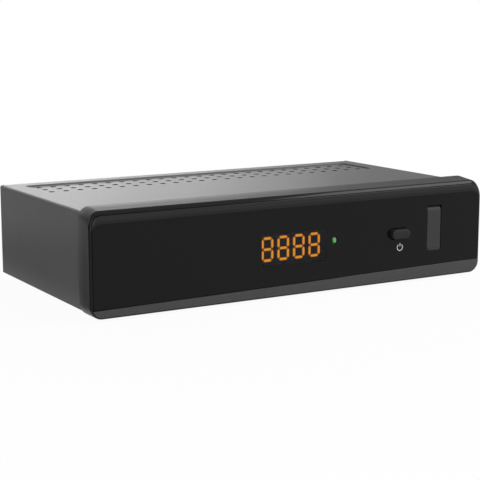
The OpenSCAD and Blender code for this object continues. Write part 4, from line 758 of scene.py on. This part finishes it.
# %% Steel cover: mesh and finish
def in_vent_wall_shade(x, y, z):
    """The vents' walls between the recess's floor and the sheet's underside: painted shade goes here."""
    in_sheet = (z < floor_z - 0.01) & (z > floor_z - SHEET + 0.01)
    in_rows = np.abs(y - (RECESS_Y0 + RECESS_Y1) / 2) < PITCH_Y + 2 * VENT_R
    return in_sheet & in_rows & (np.abs(x) < HALF_ROW * PITCH_X + 2 * VENT_R)


# The vents' walls get a near-black finish: painted shade, which stands in for the shade inside the narrow
# holes.
FINISH["punched_edge"] = finish_of("punched_edge", (0.008, 0.008, 0.008), 0.7, 2000, 0.01, shine=0.1)
steel_cover = build("steel_cover", cover_parts, "cabinet", FINISH["case_paint"], ("top_cover",),
                    second=(FINISH["punched_edge"], in_vent_wall_shade))

# %% [markdown]
# ## Digits
# Four digits of seven segments shine behind the window. Each segment is a bar with pointed ends. A
# real segment is brightest along its middle and dims towards its edge, so each bar has an inner
# outline, and an attribute called glow falls from the middle to the edge. A text object in a display
# font would be quicker, but bars follow the measures of the real display.

# %% Digit segments
DIGIT_W, DIGIT_H, DIGIT_PITCH, STROKE, SPLIT = 5.15, 9.2, 6.73, 1.1, 0.2
DIGIT_Y, DIGIT_T, CORE_IN, CORE_SOFT = -45.6, 0.15, 0.28, 0.25


def add_glow(piece, value_at):
    """Stores the attribute glow on the points: value_at gets their places in mm as x, y, z."""
    points = np.empty(len(piece.data.vertices) * 3)
    piece.data.vertices.foreach_get("co", points)
    glow = piece.data.attributes.new("glow", "FLOAT", "POINT")
    glow.data.foreach_set("value", value_at(*(points.reshape(-1, 3).T * 1000)).astype(np.float32))


def use_glow(material, colour, low, high):
    """Lets the attribute glow lead the emission colour from colour times low to colour times high."""
    tree = material.node_tree
    value = tree.nodes.new("ShaderNodeAttribute")
    value.attribute_name = "glow"
    mixed = tree.nodes.new("ShaderNodeMix")
    mixed.data_type = "RGBA"
    mixed.inputs["A"].default_value = (*[c * low for c in colour], 1)
    mixed.inputs["B"].default_value = (*[c * high for c in colour], 1)
    shader = node_of(tree, "BSDF_PRINCIPLED")
    tree.links.new(value.outputs["Fac"], mixed.inputs["Factor"])
    tree.links.new(mixed.outputs["Result"], shader.inputs["Emission Color"])
    shader.inputs["Emission Strength"].default_value = 1.0


def bar_outline(length, inset):
    """Pointed bar of half width STROKE / 2 - inset round the origin: its sides lie inset further in."""
    half, end = STROKE / 2 - inset, length / 2 - inset * math.sqrt(2)
    return np.array([(-end, 0), (half - end, half), (end - half, half), (end, 0), (end - half, -half),
                     (half - end, -half)])


apart_x, apart_z = DIGIT_W - STROKE, (DIGIT_H - STROKE) / 2
bars = [((0, row * apart_z), apart_x - 2 * SPLIT, False) for row in (-1, 0, 1)]
bars += [((column * apart_x / 2, row * apart_z / 2), apart_z - 2 * SPLIT, True)
         for column in (-1, 1) for row in (-1, 1)]
digit_x = [DISPLAY_X + (digit - 1.5) * DIGIT_PITCH for digit in range(4)]
digit_parts = []
for middle_x in digit_x:
    for (x, z), length, standing in bars:
        outer, inner = [bar_outline(length, inset)[:, ::-1 if standing else 1] + (middle_x + x, DISPLAY_Z + z)
                        for inset in (0.0, CORE_IN)]
        rings = [upright(outer, DIGIT_Y + DIGIT_T), upright(outer, DIGIT_Y), upright(inner, DIGIT_Y)]
        digit_parts += [stack(rings), fill(rings[0]), fill(rings[-1])]
use_glow(FINISH["digit_amber"], (1.0, 0.34, 0.014), 0.75, 2.8)
digits = build("digits", digit_parts, "cabinet", FINISH["digit_amber"], ("display_digits",))


# %% Glow of the digits
def segment_glow(x, y, z):
    """1 from CORE_SOFT inside a bar's outline inwards, 0 on the outline. The depth inside is the
    smaller distance to a side and to a pointed end, and the largest over all bars decides."""
    deepest = np.zeros(len(x))
    for middle_x in digit_x:
        for (bar_x, bar_z), length, standing in bars:
            off_x = np.abs(x - (middle_x + bar_x))
            off_z = np.abs(z - (DISPLAY_Z + bar_z))
            along, across = (off_z, off_x) if standing else (off_x, off_z)
            to_end = (length / 2 - along - across) / math.sqrt(2)
            deepest = np.maximum(deepest, np.minimum(STROKE / 2 - across, to_end))
    return np.clip(deepest / CORE_SOFT, 0, 1)


add_glow(digits, segment_glow)
print("digits:", len(digit_x), "bars in each:", len(bars))

# %% [markdown]
# ## Light pipe
# A short clear rod carries the green light from the board to the panel's face. Its end is slightly
# domed. The light fills its core, so the same attribute leaves its rim dark. A lamp inside clear
# plastic would show the same, but it renders slowly and with noise.

# %% Light pipe surface
PIPE_BACK, COLLAR_BACK, COLLAR_FRONT, DOME = -40.45, PLATE_BACK + 1.0, PLATE_BACK + 0.01, 0.3


def pipe(inset):
    """Slot outline of the pipe, drawn in by inset."""
    return oblong(LED_X, LED_Z, 2.0, 2.5, -inset, 13)


pipe_rings = [upright(pipe(inset), y) for inset, y in (
    (0.0, PIPE_BACK), (0.0, COLLAR_BACK), (-1.0, COLLAR_BACK), (-1.0, COLLAR_FRONT), (0.0, COLLAR_FRONT))]
for inset in (0.0, 0.1, 0.25, 0.45, 0.65, 0.85, 0.97):
    pipe_rings.append(upright(pipe(inset), FRONT + DOME * (1 - inset) ** 2))
pipe_parts = [stack(pipe_rings), fill(pipe_rings[0]), fill(pipe_rings[-1])]
use_glow(FINISH["light_guide"], (0.07, 0.80, 0.075), 0.02, 0.50)
light_guide = build("light_guide", pipe_parts, "cabinet", FINISH["light_guide"], ("light_pipe",))


def pipe_glow(x, y, z):
    """Falls with the distance from the core's straight run, at the front end only."""
    from_core = np.hypot(x - LED_X, np.maximum(np.abs(z - LED_Z) - 0.25, 0))
    return step_up(-from_core, -0.58, 0.4) * step_up(-y, -FRONT - 1.0, 1.0)


add_glow(light_guide, pipe_glow)

# %% [markdown]
# ## Power button
# The button is an oblong cap with a soft front edge and a slightly crowned face. A flange behind the
# plate keeps it in. It is one stack of oblong rings: the crown is a shallow bowl over the distance
# from the edge, the soft edge is a quarter circle. A box with a Bevel modifier would have a flat face.

# %% Power button surface
BUTTON_W, BUTTON_H, BUTTON_FRONT, BUTTON_BACK = 8.5, 3.8, -50.15, -42.95
FLANGE_OUT, FLANGE_T, EDGE_SOFT, CROWN = 1.2, 0.8, 0.65, 0.12


def cap(inset):
    """Slot outline of the button, drawn in by inset."""
    return oblong(BUTTON_X, BUTTON_Z, BUTTON_W, BUTTON_H, -inset, 19)


def crown(inset):
    """Place in y of the face inset mm in from its edge: a parabola, level on the middle line."""
    return BUTTON_FRONT + CROWN * (1 - inset / (BUTTON_H / 2)) ** 2


button_rings = [upright(cap(inset), y) for inset, y in (
    (-FLANGE_OUT, BUTTON_BACK), (-FLANGE_OUT, BUTTON_BACK - FLANGE_T), (0.0, BUTTON_BACK - FLANGE_T))]
for angle in np.radians(np.linspace(0, 90, 8)):
    inset = EDGE_SOFT * (1 - math.cos(angle))
    button_rings.append(upright(cap(inset), crown(inset) + EDGE_SOFT * (1 - math.sin(angle))))
button_rings += [upright(cap(inset), crown(inset)) for inset in (0.9, 1.2, 1.5, 1.8, 1.88)]
button_parts = [stack(button_rings), fill(button_rings[0]), fill(button_rings[-1])]
power_cap = build("power_cap", button_parts, "power_button", FINISH["button_plastic"], ("power_button",))

# %% [markdown]
# ## USB cover
# The cover is a small moulded flap. Its side profile has a flat front, a round top that turns under
# the panel's edge and a hub on the hinge axis. A finger lip crosses its foot, and its back is
# hollow inside a rib. The surface is that profile carried across the width: near both ends it is
# drawn in along its own normal, which rounds the edges, and its foot rises, which rounds the corners.
# A bevelled box would be simpler, but its top couldn't turn into the hinge.

# %% USB cover: side profile
HINGE_Y, HUB_R, PIN_R, COVER_T = FRONT + HINGE_R, 1.1, 0.7, 1.6
BACK = FRONT + COVER_T


def upright_run(y, z0, z1, count):
    """Straight run of points (y, z) at one y, from z0 to z1."""
    return np.column_stack([np.full(count, y), np.linspace(z0, z1, count)])


round_top = np.radians(np.linspace(0, 90, 13))[1:]
hub = np.radians(np.linspace(90, -62, 17))[1:]
profile = np.concatenate([
    [(FRONT, USB_Z0 + 0.15), (FRONT, USB_Z0 + 0.22), (FRONT, USB_Z0 + 0.3)],
    upright_run(FRONT, USB_Z0 + 0.36, USB_Z0 + 1.3, 13),
    upright_run(FRONT, USB_Z0 + 2.5, HINGE_Z, 6),
    np.column_stack([HINGE_Y - HINGE_R * np.cos(round_top), HINGE_Z + HINGE_R * np.sin(round_top)]),
    np.column_stack([HINGE_Y + HUB_R * np.cos(hub), HINGE_Z + HUB_R * np.sin(hub)]),
    upright_run(BACK, HINGE_Z - 1.3, HINGE_Z - 2.25, 5),
    upright_run(BACK, HINGE_Z - 2.35, HINGE_Z - 2.75, 6),
    upright_run(BACK, USB_Z0 + 10, USB_Z0 + 2, 4),
    upright_run(BACK, USB_Z0 + 1.45, USB_Z0 + 1.15, 6),
    [(BACK, USB_Z0 + 0.15), (BACK - 0.04, USB_Z0 + 0.04), (BACK - 0.15, USB_Z0),
     (FRONT + 0.15, USB_Z0), (FRONT + 0.04, USB_Z0 + 0.04)]])
print("points in the cover's profile:", len(profile))

# %% USB cover: profile carried across the width
END_R, FOOT_H, LIP_PROUD, HOLLOW = 0.22, 2.0, 0.4, 0.6


def quarter_round(r, to_end):
    """How far a corner of radius r draws in at a distance from the end: r minus a circle's height."""
    return r - np.sqrt(np.maximum(r ** 2 - np.maximum(r - to_end, 0) ** 2, 0))


# Distances from the cover's end at which the profile is repeated, close together where it bends.
left_half = np.array([0.0, 0.02, 0.07, 0.14, 0.22, 0.3, 0.45, 0.6, 0.7, 0.85, 1.0, 1.1, 1.2, 1.3, 1.6, 2.4])
offsets = np.concatenate([left_half - USB_W / 2, (USB_W / 2 - left_half)[::-1]])
to_end = USB_W / 2 - np.abs(offsets)
tangent = np.roll(profile, -1, 0) - np.roll(profile, 1, 0)
inwards = np.stack([tangent[:, 1], -tangent[:, 0]], -1) / length_of(tangent)[:, None]
yz = profile[None] + inwards[None] * quarter_round(END_R, to_end)[:, None, None]
foot_up = quarter_round(FOOT_R, to_end)[:, None]
fold = USB_Z0 + FOOT_H
yz[..., 1] = np.where(yz[..., 1] < fold, fold - (fold - yz[..., 1]) * (FOOT_H - foot_up) / FOOT_H, yz[..., 1])
flat_y, flat_z = profile[None, :, 0], profile[None, :, 1]
finger_lip = step_up(flat_z, USB_Z0 + 0.38, 0.2) * step_up(-flat_z, -(USB_Z0 + 1.15), 0.2) * step_up(
    to_end, 0.8, 0.3)[:, None] * (flat_y < FRONT + 0.01)
hollow = step_up(flat_z, USB_Z0 + 1.3, 0.25) * step_up(-flat_z, -(HINGE_Z - 2.55), 0.3) * step_up(
    to_end, 1.2, 0.25)[:, None] * (flat_y > BACK - 0.01) * (flat_z < HINGE_Z - 1)
yz[..., 0] -= LIP_PROUD * finger_lip + HOLLOW * hollow
places_x = np.broadcast_to(USB_X + offsets[:, None, None], (*yz.shape[:2], 1))
cover_rings = np.concatenate([places_x, yz], -1)
usb_parts = [stack(cover_rings), fill(cover_rings[0]), fill(cover_rings[-1])]
for side in (-1, 1):
    root, tip = USB_X + side * (USB_W / 2 - 0.3), USB_X + side * (USB_W / 2 + 1.1)
    usb_parts += turned([(root, PIN_R), (tip - side * 0.15, PIN_R), (tip, PIN_R - 0.15)],
                        (0, HINGE_Y, HINGE_Z), "x", 24)
usb_flap = build("usb_flap", usb_parts, "usb_cover", FINISH["cover_plastic"], ("usb_cover",))

# %% [markdown]
# ## Power symbol
# Below the button the common power symbol is printed in pale grey: a ring that is open at the top
# and a short bar in the gap. It could be a mask in the panel's finish. It is made as a film a few
# hundredths of a millimetre thick, because a shape keeps its edge sharp from any distance.

# %% Power symbol
SYMBOL_X, SYMBOL_Z, SYMBOL_R, INK_HALF_W = 44.6, 14.75, 1.25, 0.13
GAP_FROM, GAP_TO, INK_STEPS = 128, 412, 45
ring = np.concatenate([
    arc(SYMBOL_X, SYMBOL_Z, SYMBOL_R + INK_HALF_W, GAP_FROM, GAP_TO, INK_STEPS),
    arc(SYMBOL_X, SYMBOL_Z, SYMBOL_R - INK_HALF_W, GAP_TO, GAP_FROM, INK_STEPS)])
bar = rounded(SYMBOL_X - INK_HALF_W, SYMBOL_X + INK_HALF_W, SYMBOL_Z + 0.35, SYMBOL_Z + 1.65, 0.1, 0.0, 4)
FINISH["pale_ink"] = finish_of("pale_ink", (0.50, 0.50, 0.49), 0.5, 4000, 0.004)
symbol_parts = []
for outline in (ring, bar):
    symbol_parts += prism([upright(outline, FRONT - 0.02), upright(outline, FRONT + 0.01)])
power_symbol = build("power_symbol", symbol_parts, "cabinet", FINISH["pale_ink"])

# %% [markdown]
# ## Studio
# The receiver stands on a wide white table in plain soft light, before a white background. The
# white could come from strong lamps, but they would wash out the object. Here it comes from Light
# Path: rays from the camera, and mirror and glass rays, meet a world of strength 1 and a table close
# to it, and rays that only light meet a dimmer world and a plain pale table. The floor keeps a faint
# shadow near the case, and it is clear from below, so that the underside can be looked at.

# %% World
WORLD_LIGHT = 0.6


def seen_rays(tree):
    """Socket that is 1 for rays from the camera, a mirror or glass, and 0 for rays that only light."""
    path = tree.nodes.new("ShaderNodeLightPath")
    largest = path.outputs["Is Camera Ray"]
    for kind in ("Is Glossy Ray", "Is Transmission Ray"):
        either = tree.nodes.new("ShaderNodeMath")
        either.operation = "MAXIMUM"
        tree.links.new(largest, either.inputs[0])
        tree.links.new(path.outputs[kind], either.inputs[1])
        largest = either.outputs[0]
    return largest


world = bpy.data.worlds.new("studio")
scene.world = world
world.use_nodes = True
world_tree = world.node_tree
world_tree.nodes.clear()
strength = world_tree.nodes.new("ShaderNodeMapRange")
strength.inputs["To Min"].default_value = WORLD_LIGHT
strength.inputs["To Max"].default_value = 1.0
sky = world_tree.nodes.new("ShaderNodeBackground")
sky.inputs["Color"].default_value = (1, 1, 1, 1)
world_out = world_tree.nodes.new("ShaderNodeOutputWorld")
world_tree.links.new(seen_rays(world_tree), strength.inputs["Value"])
world_tree.links.new(strength.outputs["Result"], sky.inputs["Strength"])
world_tree.links.new(sky.outputs["Background"], world_out.inputs["Surface"])
print("world strength as light:", WORLD_LIGHT)


# %% Pieces of the studio
def flat_stage(name, corners, material):
    """Flat four-sided piece of the studio, given by its corner points in metres."""
    mesh = bpy.data.meshes.new(name)
    mesh.from_pydata(corners, [], [(0, 1, 2, 3)])
    mesh.materials.append(material)
    thing = bpy.data.objects.new(name, mesh)
    scene.collection.objects.link(thing)
    return thing


def plain_grey(name, tone, rough):
    """Plain grey material for the studio, and its shader."""
    material = bpy.data.materials.new(name)
    material.use_nodes = True
    shader = node_of(material.node_tree, "BSDF_PRINCIPLED")
    shader.inputs["Base Color"].default_value = (tone, tone, tone, 1)
    shader.inputs["Roughness"].default_value = rough
    return material, shader


FLOOR_TONE, FLOOR_WHITE, FADE_FROM, FADE_TO, FLOOR_HALF = 0.8, 0.95, 0.12, 0.40, 3
table, table_shader = plain_grey("white_table", FLOOR_TONE, 0.8)
print("table tone as light:", FLOOR_TONE)

# %% Floor
# Far from the case the table is plain white to the camera and to mirrors. Near the case a small share
# of its own shaded surface shows through the white, which keeps the shadow.
table_tree = table.node_tree
new = table_tree.nodes.new
link = table_tree.links.new
white = new("ShaderNodeEmission")
white.inputs["Color"].default_value = (1, 1, 1, 1)
spot = new("ShaderNodeTexCoord")
from_middle = new("ShaderNodeVectorMath")
from_middle.operation = "LENGTH"
fade = new("ShaderNodeMapRange")
fade.inputs["From Min"].default_value = FADE_FROM
fade.inputs["From Max"].default_value = FADE_TO
fade.inputs["To Min"].default_value = FLOOR_WHITE
fade.inputs["To Max"].default_value = 1.0
share_white = new("ShaderNodeMath")
share_white.operation = "MULTIPLY"
blend = new("ShaderNodeMixShader")
link(spot.outputs["Object"], from_middle.inputs[0])
link(from_middle.outputs["Value"], fade.inputs["Value"])
link(seen_rays(table_tree), share_white.inputs[0])
link(fade.outputs["Result"], share_white.inputs[1])
link(share_white.outputs[0], blend.inputs["Fac"])
link(table_shader.outputs["BSDF"], blend.inputs[1])
link(white.outputs["Emission"], blend.inputs[2])
side_seen = new("ShaderNodeNewGeometry")
from_below = new("ShaderNodeMixShader")
nothing = new("ShaderNodeBsdfTransparent")
link(side_seen.outputs["Backfacing"], from_below.inputs["Fac"])
link(blend.outputs["Shader"], from_below.inputs[1])
link(nothing.outputs["BSDF"], from_below.inputs[2])
link(from_below.outputs["Shader"], node_of(table_tree, "OUTPUT_MATERIAL").inputs["Surface"])
flat_stage("floor", [(x * FLOOR_HALF, y * FLOOR_HALF, 0) for x, y in ((-1, -1), (1, -1), (1, 1), (-1, 1))],
           table)
print("floor width in m:", 2 * FLOOR_HALF)

# %% [markdown]
# ## Lamps and cards
# Two wide low lamps in front light the front, and their mirror image is the soft grey on the crown
# of the gloss panel. A weak one on the left fills the front. A lamp high on the right shows in the
# right half of the gloss band. Three low lamps behind the case draw a sheen over its top that fades
# from left to right. Two standing grey cards stand in for the dim sides of a room. Two cards lie on
# the table beside the case: only mirror rays see them, and they keep the case's sides and the rim as
# dark as in the photograph. The lamps could also be one large window, but separate lamps let each
# reflection be set by itself.

# %% Lamps
# Each lamp has its place, the point it faces, its width and height in metres, and its power.
LAMPS = {
    "lamp_front": ((0.35, -1.05, 0.58), (0, 0, 0.02), (2.4, 0.64), 7.4),
    "lamp_front_low": ((0.35, -1.05, 0.14), (0, 0, 0.02), (2.4, 0.24), 1.7),
    "lamp_fill": ((-0.35, -1.1, 0.5), (0, 0, 0.02), (0.7, 0.9), 3),
    "lamp_band": ((0.86, -0.6, 0.9), (0.86, -0.601, 0), (0.48, 0.7), 5.3),
}
# Each sheen has its bearing and its width in degrees, seen from the case, and its brightness.
SHEENS = ((6.5, 32, 5.8), (26, 7, 3.6), (32.5, 6, 1.2))
SHEEN_AWAY, SHEEN_HEIGHT, SHEEN_TALL = 1.2, 0.28, 0.25


def soft_lamp(name, place, aim, size, power):
    """Area lamp of the given size in metres that faces the point aim."""
    data = bpy.data.lights.new(name, "AREA")
    data.shape = "RECTANGLE"
    data.size, data.size_y = size
    data.energy = power
    lamp = bpy.data.objects.new(name, data)
    facing = (Vector(aim) - Vector(place)).to_track_quat("-Z", "Y").to_matrix().to_4x4()
    lamp.matrix_world = Matrix.Translation(place) @ facing
    lamp.visible_camera = False
    scene.collection.objects.link(lamp)


for name, (place, aim, size, power) in LAMPS.items():
    soft_lamp(name, place, aim, size, power)
for number, (bearing, spread, brightness) in enumerate(SHEENS):
    heading = math.radians(bearing)
    wide = 2 * SHEEN_AWAY * math.tan(math.radians(spread / 2))
    soft_lamp("lamp_sheen_%d" % number,
              (SHEEN_AWAY * math.sin(heading), SHEEN_AWAY * math.cos(heading), SHEEN_HEIGHT),
              (0, 0, 0.03), (wide, SHEEN_TALL), brightness * math.pi * wide * SHEEN_TALL)

# %% Cards
CARD_LOW = 0.0004


def grey_card(name, corners, tone, mirrors_only=False):
    """Flat card that dims what the object mirrors. The camera never sees it. A card for mirrors only
    takes no light from the table under it."""
    card = flat_stage(name, corners, plain_grey(name, tone, 0.9)[0])
    card.visible_camera = False
    card.visible_diffuse = not mirrors_only
    card.visible_shadow = not mirrors_only


def standing(x0, y0, x1, y1, height):
    """Corners of a card that stands on the table between two places."""
    return [(x0, y0, 0), (x1, y1, 0), (x1, y1, height), (x0, y0, height)]


def lying(x0, x1, y0, y1):
    """Corners of a card that lies on the table."""
    return [(x0, y0, CARD_LOW), (x1, y0, CARD_LOW), (x1, y1, CARD_LOW), (x0, y1, CARD_LOW)]


grey_card("card_left", standing(-0.36, -0.25, -0.36, 0.9, 0.7), 0.1)
grey_card("card_far", standing(0.73, 1.05, 1.1, 0.65, 0.6), 0.1)
grey_card("card_low_left", lying(-0.36, -0.088, -0.045, 0.13), 0.4, True)
grey_card("card_low_right", lying(0.088, 0.4, -0.045, 0.3), 0.04, True)
